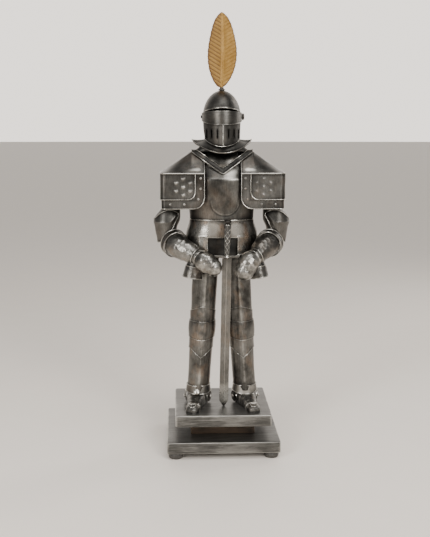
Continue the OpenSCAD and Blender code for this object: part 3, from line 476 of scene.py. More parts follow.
def leafed_board(name, colour, bright, dark):
    """Rubbed silver leaf on a wood board: long brushed streaks along each side, darker on top, bright
    edges."""
    material, tree = new_tree(name)
    normal = add(tree, "ShaderNodeSeparateXYZ", {0: add(tree, "ShaderNodeNewGeometry").outputs["Normal"]})
    on_side = spread(tree, calc(tree, "ABSOLUTE", normal.outputs["X"]), 0.6, 0.8)
    on_top = spread(tree, normal.outputs["Z"], 0.7, 0.9)
    streak_x = grain(tree, 1.1, (0.035, 1, 1), detail=5.0, rough=0.7)
    streak_y = grain(tree, 1.1, (1, 0.035, 1), detail=5.0, rough=0.7)
    fine = add(tree, "ShaderNodeMix", {0: on_side, 2: streak_x, 3: streak_y}, data_type="FLOAT").outputs[0]
    clouds = grain(tree, 24.0, (0.5, 1, 1.6), detail=5.0, rough=0.6)
    light = calc(tree, "ADD", calc(tree, "MULTIPLY", fine, 0.65), calc(tree, "MULTIPLY", clouds, 0.35))
    base = mixed(tree, spread(tree, light, 0.38, 0.62), dark, colour)
    base = mixed(tree, spread(tree, fine, 0.56, 0.7, 0.0, 0.45), base, bright)
    top_tone = mixed(tree, spread(tree, light, 0.36, 0.64), shade(dark, 0.62), shade(colour, 0.5))
    base = mixed(tree, calc(tree, "MULTIPLY", on_top, 0.9), base, top_tone)
    wear_and_painted_light = add(tree, "ShaderNodeAttribute", attribute_name="wear_and_painted_light").outputs["Fac"]
    uneven = calc(tree, "ADD", wear_and_painted_light, calc(tree, "MULTIPLY", calc(tree, "SUBTRACT", clouds, 0.5), 1.2))
    rub_and_highlight = calc(tree, "MULTIPLY", spread(tree, uneven, 0.2, 0.75), spread(tree, wear_and_painted_light, 0.05, 0.3))
    base = mixed(tree, rub_and_highlight, base, bright)
    base = mixed(tree, spread(tree, wear_and_painted_light, -0.05, -0.9, 0.0, 0.8), base, shade(dark, 0.2))
    roughness = spread(tree, light, 0.35, 0.65, 0.46, 0.3)
    finish_tree(tree, base, roughness, light, (0.5, 0.25), metallic=0.6)
    return material


def gilt_leaf(name, gold, pale, brown):
    """Dull gilding: mottled ochre, darker in the veins, brown along the edge, and the painted shade and light
    the attribute carries.
    """
    material, tree = new_tree(name)
    clouds = grain(tree, 22.0, (1, 1, 0.6), detail=5.0, rough=0.6)
    speck = grain(tree, 0.8, detail=3.0, rough=0.7)
    base = mixed(tree, spread(tree, clouds, 0.38, 0.64), gold, pale)
    wear_and_painted_light = add(tree, "ShaderNodeAttribute", attribute_name="wear_and_painted_light").outputs["Fac"]
    base = mixed(tree, spread(tree, wear_and_painted_light, -0.05, -0.9, 0.0, 0.85), base, brown)
    base = mixed(tree, spread(tree, wear_and_painted_light, 0.2, 0.9, 0.0, 0.6), base, shade(pale, 1.25))
    base = mixed(tree, spread(tree, speck, 0.62, 0.72, 0.0, 0.5), base, shade(brown, 1.4))
    roughness = spread(tree, speck, 0.3, 0.7, 0.36, 0.55)
    finish_tree(tree, base, roughness, speck, (0.25, 0.1), metallic=0.35)
    return material


def stained_wood(name, colour):
    """Dark stained wood with a fine grain."""
    material, tree = new_tree(name)
    lines = grain(tree, 0.8, (1, 1, 0.12), detail=4.0, rough=0.6)
    base = mixed(tree, spread(tree, lines, 0.35, 0.65), shade(colour, 0.6), shade(colour, 1.5))
    finish_tree(tree, base, spread(tree, lines, 0.3, 0.7, 0.35, 0.55), lines, (0.3, 0.1), metallic=0.0)
    return material


def colour_property(name, description, default):
    return FloatVectorProperty(
        name=name, description=description, default=default, subtype="COLOR", size=4, min=0, max=1
    )


class KnightColours(bpy.types.PropertyGroup):
    """Colours of the finishes."""

    aged: colour_property("Aged steel", "Dark patina of most of the armour", (0.122, 0.119, 0.111, 1))
    polished: colour_property("Polished steel", "Hammered and polished pieces", (0.235, 0.23, 0.214, 1))
    dark: colour_property("Dark steel", "Bands and hidden sheet", (0.085, 0.084, 0.08, 1))
    # The bright edge colour also paints the highlights on the armour.
    bright: colour_property("Bright edge", "Beads, rivets and rubbed edges", (0.6, 0.585, 0.54, 1))
    brown: colour_property("Brown bloom", "Heat tint and old lacquer", (0.3, 0.215, 0.15, 1))
    leaf: colour_property("Silver leaf", "Faces of the plinth", (0.165, 0.16, 0.148, 1))
    leaf_dark: colour_property("Worn leaf", "Ground that shows through the leaf", (0.035, 0.034, 0.031, 1))
    gold: colour_property("Gilding", "The plume", (0.235, 0.122, 0.015, 1))
    pale_gold: colour_property("Pale gilding", "Rubbed parts of the plume", (0.35, 0.205, 0.05, 1))
    plume_edge: colour_property("Plume edge", "Brown edge and veins of the plume", (0.07, 0.026, 0.008, 1))
    wood: colour_property("Stained wood", "Bun feet", (0.045, 0.042, 0.038, 1))
    floor: colour_property("Floor", "The pale floor and surroundings", (0.9, 0.84, 0.77, 1))


class KnightSizes(bpy.types.PropertyGroup):
    """Sizes of the details, in millimetres."""

    bead_r: FloatProperty(
        name="Bead radius", description="Radius of the soldered border beads", default=0.62, min=0.4, max=1.4
    )
    line_r: FloatProperty(
        name="Line radius", description="Radius of the fine raised lines", default=0.4, min=0.3, max=0.9
    )
    dent: FloatProperty(name="Hammer mark", description="Width of a hammer mark", default=4.6, min=3, max=9)
    dent_depth: FloatProperty(
        name="Hammer depth", description="Depth of a hammer mark", default=0.8, min=0, max=1.4
    )
    waviness: FloatProperty(
        name="Waviness", description="Unevenness of hand-bent sheet", default=0.22, min=0, max=0.6
    )
    wires: IntProperty(
        name="Grip wires", description="Wires wound each way round the grip", default=4, min=3, max=10
    )
    veins: IntProperty(
        name="Plume veins", description="Veins on each side of the plume's midrib", default=17, min=8, max=28
    )


finish = {}


def make_materials(c):
    """Every finish, by name. A finish is its record slot's own, or a darker or lighter variant of it."""
    bright, brown = tuple(c.bright), tuple(c.brown)
    upright, even = (1, 1, 0.08), (1, 1, 1)
    # Each row: colour, brown bloom, width of the clouds in mm, brush stretch, roughness range,
    # share of bloom, and contrast of the patina.
    sheets = {
        "aged_steel": (c.aged, brown, 30, upright, (0.27, 0.44), 0.16, 1.25),
        "leg_steel": (shade(c.aged, 1.25), brown, 24, (1, 1, 0.06), (0.28, 0.44), 0.42, 1.4),
        "helmet_steel": (shade(c.aged, 0.66), brown, 24, (1, 1, 0.2), (0.36, 0.5), 0.12, 0.8),
        "bronzed_steel": (c.polished, shade(brown, 1.15), 34, (1, 1, 0.1), (0.2, 0.36), 0.9, 1.0),
        "bright_steel": (c.polished, brown, 16, even, (0.24, 0.4), 0.3, 1.0),
        "blade_steel": (shade(c.aged, 1.35), brown, 40, (1, 1, 0.03), (0.26, 0.4), 0.3, 0.7),
        "dark_band": (c.dark, brown, 20, (0.1, 0.1, 1), (0.36, 0.52), 0.15, 1.0),
        "visor_band": (shade(c.aged, 0.8), brown, 26, (0.12, 0.12, 1), (0.34, 0.46), 0.12, 0.6),
        "dark_steel": (shade(c.dark, 0.6), brown, 14, even, (0.38, 0.55), 0.1, 1.0),
        "screw_steel": (c.polished, brown, 10, even, (0.25, 0.4), 0.1, 1.0),
    }
    for name, (colour, bloom, patch, brush, rough, share, contrast) in sheets.items():
        finish[name] = metal(name, colour, bright, bloom, patch, brush, rough, share, contrast)
    finish["leafed_board"] = leafed_board(
        "leafed_board", tuple(c.leaf), shade(bright, 0.72), tuple(c.leaf_dark)
    )
    # The spacer's darker brown leaf is partly its own tone and partly painted shade of its recess between the
    # boards.
    recess_shaded_leaf = shade(c.brown, 0.25), shade(c.brown, 0.5), shade(c.leaf_dark, 0.7)
    finish["shaded_spacer_board"] = leafed_board("shaded_spacer_board", *recess_shaded_leaf)
    finish["gilt_plume"] = gilt_leaf("gilt_plume", tuple(c.gold), tuple(c.pale_gold), tuple(c.plume_edge))
    finish["dark_foot"] = stained_wood("dark_foot", c.wood)
    finish["grip_wood"] = stained_wood("grip_wood", shade(c.dark, 0.5))


def painted_light_patch(grid, place, size, strength):
    """A patch of painted light: a soft ellipse round a place given by x and height, on the front only; added,
    it paints a highlight, and taken away, a shade."""
    x, z = (grid[..., 0] - place[0]) / size[0], (grid[..., 2] - place[1]) / size[1]
    return strength * np.exp(-(x**2) - z**2) * (grid[..., 1] < 0)


def uneven(grid, sizes, seed, wrap=False, size=14.0, share=1.0):
    """The grid pushed in and out along its normals by smooth noise, as hand-bent sheet is."""
    return grid + grid_normals(grid, wrap) * (sizes.waviness * share * wobble(grid, size, seed))[..., None]


# ------------------------------------------------------------------ plinth


def board(x, y, z0, z1, edge=1.3, rows_in=8):
    """A board with rounded edges: a rounded-rectangle ring carried up a rounded profile, and in over both
    faces."""
    arc = np.linspace(0, 90, 5)
    inwards = lerp(0.02, 1, (np.arange(rows_in) / rows_in) ** 0.8)
    inset = np.concatenate([edge - edge * sind(arc), edge - edge * cosd(arc)])
    height = np.concatenate([z0 + edge - edge * cosd(arc), z1 - edge + edge * sind(arc)])
    per_side = 36
    s = np.linspace(-1, 1, per_side, endpoint=False)
    corner = 1.6
    ring = np.concatenate([
        np.stack([s, -np.ones_like(s)], -1), np.stack([np.ones_like(s), s], -1),
        np.stack([-s, np.ones_like(s)], -1), np.stack([-np.ones_like(s), -s], -1),
    ])
    pull = np.clip((np.abs(ring).min(-1) - (1 - corner / x)) / (corner / x), 0, 1) ** 2
    ring = ring * (1 - 0.35 * corner / x * pull[:, None])
    half_x = np.concatenate([(x - edge) * inwards, x - inset, (x - edge) * inwards[::-1]])
    half_y = np.concatenate([(y - edge) * inwards, y - inset, (y - edge) * inwards[::-1]])
    level = np.concatenate([np.full(rows_in, z0), height, np.full(rows_in, z1)])
    grid = xyz(half_x[:, None] * ring[:, 0], half_y[:, None] * ring[:, 1], level[:, None])
    from_faces = np.minimum(grid[..., 2] - z0, z1 - grid[..., 2])
    from_planes = xyz(x - np.abs(grid[..., 0]), y - np.abs(grid[..., 1]), from_faces)
    to_edge = np.sort(from_planes, -1)[..., 1]
    knocks = 0.18 * wobble(grid, 9.0, 4) * (to_edge < 2.2)
    grid = grid + knocks[..., None] * unit(grid - [0, 0, (z0 + z1) / 2]) * [1, 1, 0.4]
    return closed_grid(grid, 0.85 * rubbed(to_edge, 1.15))


class KnightPlinth(bpy.types.Operator):
    """Two rounded boards of rubbed silver leaf, the block between them and four turned feet"""

    bl_idname = "knight.plinth"
    bl_label = "Plinth"

    def execute(self, context):
        for node in ("upper_plinth", "lower_plinth"):
            a, b = low(node), high(node)
            add_piece(node + "_board", [board(b[0], b[1], a[2], b[2])], "leafed_board", [node])
        a, b = low("plinth_spacer"), high("plinth_spacer")
        add_piece(
            "spacer_block",
            [board(b[0], b[1], a[2], b[2], 0.8)],
            "leafed_board",
            ["plinth_spacer"],
            look="shaded_spacer_board",
        )
        foot_r, foot_h = 10.0, high("base_feet")[2]
        place = high("base_feet")[0] - foot_r
        bun_turn = 74
        arc = np.linspace(-bun_turn, bun_turn, 13)
        profile = np.stack(
            [foot_r - 2.2 + 2.2 * cosd(arc), foot_h / 2 + (foot_h / 2 - 0.02) * sind(arc) / sind(bun_turn)],
            -1,
        )
        profile = np.concatenate([[[0.5, profile[0, 1]]], profile, [[0.5, profile[-1, 1]]]])
        feet = [
            lathe(profile, [sx * place, sy * place, 0], [0, 0, 1], 36) for sx in (-1, 1) for sy in (-1, 1)
        ]
        add_piece("bun_feet", feet, "dark_foot", ["base_feet"])
        return {"FINISHED"}


# ------------------------------------------------------------------ legs and knees

hip_x, ankle_r, hip_r = 19.3, 15.3, 18.4
crease_h, crease_turn = 2.4, 35.0


def leg_point(side, angle, z, out=0.0):
    """A point on a leg: a tapering tube about a leaning axis, with a crease that fades out each way."""
    share = (z - board_z) / (hip_z - board_z)
    r = lerp(ankle_r, hip_r, (z - ankle_z) / (hip_z - ankle_z)) + out
    r = r + crease_h * np.maximum(0, 1 - np.abs(angle - front) / crease_turn)
    return xyz(side * lerp(half_stance, hip_x, share) + r * cosd(angle), r * sind(angle), z)


knee_wrap = 110.0


def knee_angles(step=3.5):
    n = int(knee_wrap / step)
    return front + np.concatenate([np.linspace(-knee_wrap, 0, n + 1), np.linspace(0, knee_wrap, n + 1)[1:]])


def knee_plate(side, low_edge, top_edge, out, bulge, rows, sizes, seed):
    """A plate round the front of the knee between two edges given by angle, bulged in the middle."""
    angle = knee_angles()[None]
    v = np.linspace(0, 1, rows)[:, None]
    z = lerp(low_edge(angle), top_edge(angle), v)
    grid = leg_point(side, angle, z, out + bulge * np.sin(np.pi * v) ** 0.8)
    grid = uneven(grid, sizes, seed, size=11.0, share=0.7)
    centre = [side * lerp(half_stance, hip_x, 0.4), 0, (z.min() + z.max()) / 2]
    return grid, centre


class KnightLegs(bpy.types.Operator):
    """Tapered tubes with a crease down the front"""

    bl_idname = "knight.legs"
    bl_label = "Legs"

    def execute(self, context):
        sizes = context.scene.knight_sizes
        for side, name in both_sides:
            angle = np.concatenate(
                [np.linspace(front, front + 180, 46), np.linspace(front + 180, front + 360, 46)[1:-1]]
            )
            z = np.linspace(ankle_z, hip_z, 90)[:, None]
            away = np.where(angle > 90, angle - 360, angle)[None]
            grid = leg_point(side, away, z)
            grid = uneven(grid, sizes, 11 + side, True, 22.0, 1.3)
            ridge = 0.34 * bell(away - front, 7.0)
            seam = -0.5 * bell(np.abs(away - front) - 180, 3)
            # Painted shade on the leg under the skirt's hem and inside the ankle cuff.
            painted_shade_at_hem_and_ankle = -0.5 * ease(z, hem_z - 12, hem_z + 4) - 0.6 * ease(-z, -ankle_z - 14, -ankle_z)
            tube = shell(grid, wall, [side * 26, 0, 180], True, ridge + seam + painted_shade_at_hem_and_ankle)
            add_piece(name + "_leg", [tube], "aged_steel", [name + "_leg_tube"], look="leg_steel", sharp=28)
        return {"FINISHED"}


class KnightKnees(bpy.types.Operator):
    """Three lapped plates on each knee, with fine raised edges"""

    bl_idname = "knight.knees"
    bl_label = "Knees"

    def execute(self, context):
        sizes = context.scene.knight_sizes

        def share(angle):
            return np.abs(angle - front) / knee_wrap

        lap = 4.0
        plates = {
            "upper_lame": (
                lambda a: knee_top_z - lap + 0 * a, lambda a: knee_peak_z - 11 * share(a), 0.7, 0.0, 12
            ),
            "plate": (lambda a: knee_low_z + 5 * share(a) ** 1.3, lambda a: knee_top_z + 0 * a, 1.5, 0.9, 14),
            "lower_lame": (
                lambda a: knee_tip_z + 12 * np.minimum(1, 1.9 * share(a)) ** 0.9,
                lambda a: knee_low_z + lap + 5 * share(a),
                0.7,
                0.0,
                14,
            ),
        }
        for side, name in both_sides:
            for k, (plate, (low_edge, top_edge, out, bulge, rows)) in enumerate(plates.items()):
                grid, centre = knee_plate(
                    side, low_edge, top_edge, out, bulge, rows, sizes, 20 + 3 * k + side
                )
                ridge = 0.3 * bell(knee_angles() - front, 6.0)[None]
                gap = border_distance(grid)
                parts = [
                    shell(
                        grid, wall, centre, wear_and_painted_light=np.maximum(ridge, 0) * 0.8 + 0.5 * dirt_and_shade_beside_bead(gap, 0.5, 1.2)
                    )
                ]
                out_way = unit(grid - np.array([centre[0], 0, 0]) * [1, 1, 0]) * [1, 1, 0]
                if plate != "lower_lame":
                    parts.append(bead(grid[-1], sizes.line_r, out_way[-1], sides=8, wear_and_painted_light=0.4))
                if plate != "upper_lame":
                    parts.append(bead(grid[0], sizes.line_r, out_way[0], sides=8, wear_and_painted_light=0.4))
                add_piece(
                    f"{name}_knee_{plate}_sheet", parts, "aged_steel", [f"{name}_knee_{plate}"],
                    look="leg_steel", sharp=30,
                )
        return {"FINISHED"}


# ------------------------------------------------------------------ boots

boot_len, toe_r, toe_out, heel_r = 56.0, 8.3, 9.5, 15.0
lame_start, lame_pitch, lame_h = 48.0, 8.0, 0.75


def boot_frame(side, points):
    """Points in a boot's own frame, toe towards -Y and sole at 0, moved to the figure's boot."""
    turn = math.radians(side * toe_out)
    x, y, z = np.moveaxis(np.asarray(points, float), -1, 0)
    return xyz(
        side * half_stance + x * math.cos(turn) - y * math.sin(turn),
        x * math.sin(turn) + y * math.cos(turn),
        board_z + z,
    )


def boot_half_width(y):
    """Half width of a boot in plan: round at the heel and toe, drawn in between."""
    toe_y = -(boot_len - toe_r)
    body = through(y, [toe_y, -34, -22, -10, 0], [toe_r, 9.4, 11.9, 13.9, heel_r])
    heel = np.sqrt(np.maximum(heel_r**2 - np.maximum(y, 0) ** 2, 0))
    toe = np.sqrt(np.maximum(toe_r**2 - np.minimum(y - toe_y, 0) ** 2, 0))
    return np.where(y > 0, heel, np.where(y < toe_y, toe, body))


def boot_height(y):
    """Height of a boot along its length, falling from the ankle to the toe."""
    return through(y, [-boot_len, -50, -40, -22, -8, 15], [4.2, 7.8, 9.4, 14.2, 19.2, 20])


def boot_grid(y, out=0.0, steps=0.0):
    """Arches over the foot at the places y: half ellipses with flattened sides, standing on the board."""
    arch = np.linspace(0, 180, 41)
    w = boot_half_width(y)[:, None] + out
    h = boot_height(y)[:, None] + out + steps
    power = 0.62
    x = w * np.sign(cosd(arch)) * np.abs(cosd(arch)) ** power
    z = h * np.abs(sind(arch)) ** power
    return xyz(x, y[:, None], z)


class KnightBoots(bpy.types.Operator):
    """Pointed boots with lapped plates, toe caps, ankle cuffs and round side discs"""

    bl_idname = "knight.boots"
    bl_label = "Boots"

    def execute(self, context):
        toe_y = -(boot_len - toe_r)
        for side, name in both_sides:
            y = np.concatenate(
                [
                    toe_y - toe_r * sind(np.linspace(89, 0, 12)),
                    np.linspace(toe_y, 0, 46)[1:],
                    heel_r * sind(np.linspace(0, 89, 14))[1:],
                ]
            )
            step = (((y + lame_start) / lame_pitch) % 1)[:, None]
            over_foot = ease(-y, 4, 10)[:, None]
            lames = lame_h * (1 - step) * over_foot
            grid = boot_grid(y, -lame_h, lames)
            grid[..., 2] = np.maximum(grid[..., 2], 0)
            grid = boot_frame(side, grid)
            marks = dents(grid, 4.2, 5 + side)
            edge_wear = 0.55 * np.exp(-step / 0.1) * over_foot
            # The last term paints shade along the foot of the boot, where it meets the board.
            wear_and_painted_light = (
                0.12
                + edge_wear
                - 0.45 * (1 - np.clip(marks * 1.4, 0, 1))
                - 0.7 * ease(-(grid[..., 2] - board_z), -3.5, 0)
            )
            ring = np.concatenate([grid, grid[:, 1:-1][:, ::-1] * [1, 1, 0] + [0, 0, board_z]], 1)
            ring_wear_and_painted_light = np.concatenate([wear_and_painted_light, -0.8 + 0 * wear_and_painted_light[:, 1:-1]], 1)
            add_piece(
                name + "_boot_shell", [closed_grid(ring, ring_wear_and_painted_light)], "aged_steel", [name + "_boot"], sharp=40
            )

            y = np.concatenate(
                [toe_y - (toe_r + 0.8) * sind(np.linspace(88, 0, 12)), np.linspace(toe_y, toe_y + 6.0, 8)[1:]]
            )
            cap = boot_grid(np.maximum(y, -boot_len + 0.02), 0.9)
            cap[..., 1] = y[:, None]
            cap = boot_frame(side, cap)
            heart = boot_frame(side, [0, toe_y + 4, 0])
            parts = [
                shell(
                    cap,
                    trim_wall,
                    heart,
                    wear_and_painted_light=0.12 + rubbed(border_distance(cap, sides=("last",)), 1.4) * 0.6,
                )
            ]
            out_way = unit(cap[-1] - heart)
            parts.append(bead(cap[-1][2:-2], 0.55, out_way[2:-2], sides=8))
            turn = turns(28)
            round_y = toe_y - 0.6 + 3.7 * sind(turn)
            round_x = 4.6 * cosd(turn)
            top = boot_height(round_y) + 0.95
            drop = 1 - np.abs(round_x / (boot_half_width(round_y) + 0.9)) ** 3.2
            ring_path = boot_frame(side, xyz(round_x, round_y, top * np.maximum(drop, 0.3) ** 0.28))
            parts.append(bead(ring_path, 0.55, [0, 0, 1], closed=True, sides=8))
            add_piece(
                name + "_toe_cap_sheet", parts, "bright_steel", [name + "_toe_cap"], look="aged_steel",
                sharp=40,
            )

            box_low, box_high = low(name + "_ankle_cuff"), high(name + "_ankle_cuff")
            z0, z1 = box_low[2], box_high[2]
            mid = np.array([(box_low[0] + box_high[0]) / 2, (box_low[1] + box_high[1]) / 2, 0])
            r = (box_high[0] - box_low[0]) / 2
            turn = turns(72)
            v = np.linspace(0, 1, 9)[:, None]
            z = lerp(z0 + 1.2 * cosd(2 * turn)[None], z1 - 0.8, v)
            flare = r - 0.9 + 0.6 * (1 - v) ** 2 - 0.6 * v
            cuff = xyz(mid[0] + flare * cosd(turn), mid[1] + flare * sind(turn), z)
            # Painted highlight across the front of the cuff, stronger on the left leg.
            lift = 1.0 if side > 0 else 0.35
            shine = lift * 0.55 * bell(turn - 270, 55)[None]
            parts = [shell(cuff, thin_wall, mid + [0, 0, z0], True, shine)]
            out_way = unit((cuff - mid) * [1, 1, 0])
            parts += [bead(cuff[k], 0.6, out_way[k], closed=True, sides=8) for k in (0, -1)]
            if side < 0:
                parts.append(dome(boot_frame(side, [1.5, -17.0, 19.5]), [0, -0.8, 0.6], 5.0, 2.4, 20, 0.75))
            add_piece(
                name + "_ankle_cuff_sheet", parts, "bright_steel", [name + "_ankle_cuff"], look="aged_steel",
                sharp=40,
            )

            parts = []
            for s in (-1, 1):
                centre = boot_frame(side, [s * 16.2, -1, 8.8])
                tip = boot_frame(side, [s * 26.0, -3.6, 8.2])
                axis = unit(tip - centre)
                profile = np.array(
                    [
                        [0.2, -0.5], [7.6, -0.4], [8.0, 0.1], [7.9, 0.7], [7.0, 0.9], [6.4, 0.75],
                        [4.6, 1.3], [3.0, 1.6], [2.5, 1.7], [2.3, 2.7], [1.5, 3.4], [0.2, 3.6],
                    ]
                )
                shine = [0, 0, 0.9, 0.8, -0.5, -0.6, -0.1, -0.2, -0.6, 0.9, 1, 1]
                parts.append(lathe(profile, centre, axis, 40, shine))
            add_piece(name + "_ankle_discs", parts, "aged_steel", [name + "_ankle_rondels"], sharp=40)
        return {"FINISHED"}


# ------------------------------------------------------------------ torso

waist_w, chest_d, plan_power = 43.5, 36.0, 0.92
chest_line_z = chest_z + 1.6
groove_x, groove_z, groove_r = 3.0, waist_z + 26.3, 20.3
hem_half_w = 47.9


def torso_point(angle, z, out=0.0):
    """A point on the torso: a near ellipse in plan whose half width and half depth follow smooth curves by
    height."""
    w = through(z, [hem_z, waist_z - 20, waist_z, chest_z, yoke_z, collar_z],
                [waist_w + 4, waist_w + 4.8, waist_w, waist_w + 6.5, waist_w + 2.5, 40])
    d = through(
        z, [hem_z, waist_z, chest_z - 10, chest_z], [chest_d - 3.5, chest_d - 4.5, chest_d - 0.6, chest_d]
    )
    slope = np.interp(z, [chest_z, yoke_z, collar_z], [chest_d, 25, 13])
    d = np.where(z > chest_z, slope, d)
    c, s = cosd(angle), sind(angle)
    return xyz(
        (w + out) * np.sign(c) * np.abs(c) ** plan_power, (d + out) * np.sign(s) * np.abs(s) ** plan_power, z
    )


collar_half_w, collar_drop = 40.8, 29.4


def collar_height(x, rise=0.0):
    """Height of the V's line at a distance from the middle, rounded a little at its point."""
    return collar_z + rise - collar_drop * (1 - np.sqrt(np.abs(x) ** 2 + 0.6) / collar_half_w)


def torso_angles(start, end, n):
    return np.linspace(start, end, n)[None]


class KnightTorso(bpy.types.Operator):
    """Breastplate, backplate, the two halves of the skirt, the gorget behind the V and the dark panel"""

    bl_idname = "knight.torso"
    bl_label = "Torso"

    def execute(self, context):
        sizes = context.scene.knight_sizes
        heart = np.array([0, 0, 340])
        angle = torso_angles(-0.5, -179.5, 121)
        v = np.linspace(0, 1, 61)[:, None]
        top = np.full_like(angle, collar_z)
        for _ in range(6):
            x = torso_point(angle, top)[..., 0]
            top = np.minimum(collar_height(x, 3.0), collar_z - 0.2)
        z = lerp(waist_z + 0.1, top, v)
        grid = torso_point(angle, z)
        arc_d = np.hypot(grid[..., 0] - groove_x, grid[..., 2] - groove_z) - groove_r
        low_half = ease(-(grid[..., 2] - (waist_z + 28)), -1, 1)
        groove = bell(arc_d, 0.9) * low_half
        chest = bell(grid[..., 2] - chest_line_z, 0.7)
        plate = uneven(grid, sizes, 31, size=18.0, share=1.2)
        plate = plate + unit(grid * [1, 1, 0]) * (0.45 * chest - 0.4 * groove)[..., None]
        near_waist = border_distance(grid, sides=("first",))
        wear_and_painted_light = 0.4 * chest - 0.75 * groove + 0.4 * bell(arc_d + 1.8, 0.8) * low_half
        # Dirt and painted shade beside the waist bead, and painted shadow of the shoulder plates on the
        # chest's sides.
        wear_and_painted_light = wear_and_painted_light + dirt_and_shade_beside_bead(near_waist, 0.9, 2.5) - 0.55 * ease(np.abs(grid[..., 0]), 24, 34)
        # Painted highlights above the chest line.
        wear_and_painted_light = (
            wear_and_painted_light
            + painted_light_patch(grid, (9, chest_z + 9), (9, 7), 0.8)
            + painted_light_patch(grid, (-13, chest_z + 7), (6, 5), 0.2)
        )
        parts = [shell(plate, wall, heart, wear_and_painted_light=wear_and_painted_light)]
        add_piece("breastplate_sheet", parts, "aged_steel", ["breastplate"], sharp=30)

        back = torso_angles(179.5, 0.5, 101)
        z = lerp(waist_z + 0.1, collar_z - 0.1, v)
        grid = torso_point(back, z)
        spine = bell(grid[..., 0], 1.6)
        chest = bell(grid[..., 2] - chest_line_z, 0.7)
        plate = (
            uneven(grid, sizes, 33, size=18.0, share=1.2)
            + unit(grid * [1, 1, 0]) * (0.7 * spine + 0.4 * chest)[..., None]
        )
        wear_and_painted_light = 0.6 * spine + 0.7 * chest + dirt_and_shade_beside_bead(border_distance(grid, sides=("first",)), 0.9, 2.5)
        add_piece(
            "backplate_sheet", [shell(plate, wall, heart, wear_and_painted_light=wear_and_painted_light)], "aged_steel", ["backplate"], sharp=30
        )

        around = turns(144)
        belt = torso_point(around, np.full_like(around, waist_z + 0.6), 0.35)
        hem = torso_point(around, np.full_like(around, hem_z + 0.6), 0.1)
        keep = np.abs(hem[:, 0]) > 19.6
        front_cut = (hem[:, 1] < 0) & ~keep
        hem_path = np.roll(
            hem, -int(np.argmax(front_cut)) - int(front_cut.sum()), 0
        )[: int((~front_cut).sum())]
        out_belt, out_hem = unit(belt * [1, 1, 0]), unit(hem_path * [1, 1, 0])
        parts = [bead(belt, sizes.bead_r, out_belt, closed=True), bead(hem_path, 0.7, out_hem)]
        add_piece("waist_and_hem_beads", parts, "bright_steel")

        notch_h, half_notch = 23.0, 20.0
        rows = np.linspace(0, 1, 41)[:, None]
        names = {"fauld_back": torso_angles(179.5, 0.5, 101), "fauld_front": angle}
        for node, turn in names.items():
            parts = []
            if node == "fauld_back":
                z = lerp(hem_z, waist_z - 0.1, rows)
                grid = torso_point(turn, z)
                seam = bell(grid[..., 2] - hem_z - 24.4, 0.6)
                wear_and_painted_light = 0.5 * seam + dirt_and_shade_beside_bead(border_distance(grid, sides=("last",)), 0.9, 2.0)
                parts.append(
                    shell(
                        uneven(grid, sizes, 35, size=16) + unit(grid * [1, 1, 0]) * (0.35 * seam)[..., None],
                        wall,
                        [0, 0, 290],
                        wear_and_painted_light=wear_and_painted_light,
                    )
                )
            else:
                middle = float(np.degrees(np.arccos((half_notch / hem_half_w) ** (1 / plan_power))))
                spans = [
                    (-0.5, -middle, 44, 0),
                    (-middle, -180 + middle, 41, notch_h),
                    (-180 + middle, -179.5, 44, 0),
                ]
                for k, (a0, a1, n, up) in enumerate(spans):
                    a = torso_angles(a0, a1, n)
                    z = lerp(hem_z + up, waist_z - 0.1, rows)
                    grid = torso_point(a, z)
                    lame = bell(grid[..., 2] - hem_z - 24.6, 0.6) * ease(np.abs(grid[..., 0]), 19, 21)
                    seam_x = np.where(
                        grid[..., 0] < 0,
                        grid[..., 0] + 31.5,
                        grid[..., 0] - 38.5 - 0.06 * (hem_z + 24 - grid[..., 2]),
                    )
                    seam = bell(seam_x, 0.6) * ease(-(grid[..., 2] - hem_z - 25), -0.5, 0.5)
                    wear_and_painted_light = (
                        0.45 * lame
                        + 0.7 * seam
                        + dirt_and_shade_beside_bead(border_distance(grid, sides=("last",)), 0.9, 2.0)
                    )
                    # Painted shade, darker towards the skirt's sides.
                    wear_and_painted_light = wear_and_painted_light - 0.5 * ease(np.abs(grid[..., 0]), 33, 42)
                    side_d = border_distance(
                        grid, sides=("end",) if k == 0 else ("start",) if k == 2 else ("first",)
                    )
                    wear_and_painted_light = wear_and_painted_light + 0.7 * rubbed(side_d, 0.9)
                    # Painted highlights on both sides of the grip.
                    wear_and_painted_light = (
                        wear_and_painted_light
                        + painted_light_patch(grid, (-16, hem_z + 35), (10, 11), 1.3)
                        + painted_light_patch(grid, (19, hem_z + 35), (10, 11), 1.3)
                    )
                    # Painted shadow of the grip down the middle of the skirt.
                    wear_and_painted_light = wear_and_painted_light - painted_light_patch(grid, (3, hem_z + 33), (5, 20), 0.5)
                    bent = (
                        uneven(grid, sizes, 35, size=16)
                        + unit(grid * [1, 1, 0]) * (0.4 * np.maximum(lame, seam))[..., None]
                    )
                    parts.append(shell(bent, wall, [0, 0, 290], wear_and_painted_light=wear_and_painted_light))
            add_piece(node + "_sheet", parts, "bronzed_steel", [node], sharp=32)

        x = np.linspace(-24, 24, 37)[None]
        z = np.linspace(hem_z - 4.6, hem_z + notch_h + 3.4, 25)[:, None]
        depth = low("loin_panel")[1] + 1.2 - 1.4 * np.sqrt(np.maximum(0, 1 - (x / 30) ** 2))
        grid = xyz(x, depth + 0.25 * wobble(xyz(x, 0, z), 7, 8), z)
        add_piece(
            "loin_panel_sheet", [shell(grid, thin_wall, [0, 0, 280], wear_and_painted_light=-0.2)], "dark_steel", ["loin_panel"]
        )

        a = torso_angles(-50, -130, 49)
        z = np.linspace(chest_z + 5, collar_z - 0.6, 25)[:, None]
        grid = torso_point(a, z, -1.5)
        grid[..., 0] = np.clip(grid[..., 0] * 0.8, -23, 23)
        grid[..., 1] = grid[..., 1] * (1 + 0.62 * ease(z, yoke_z - 10, collar_z))
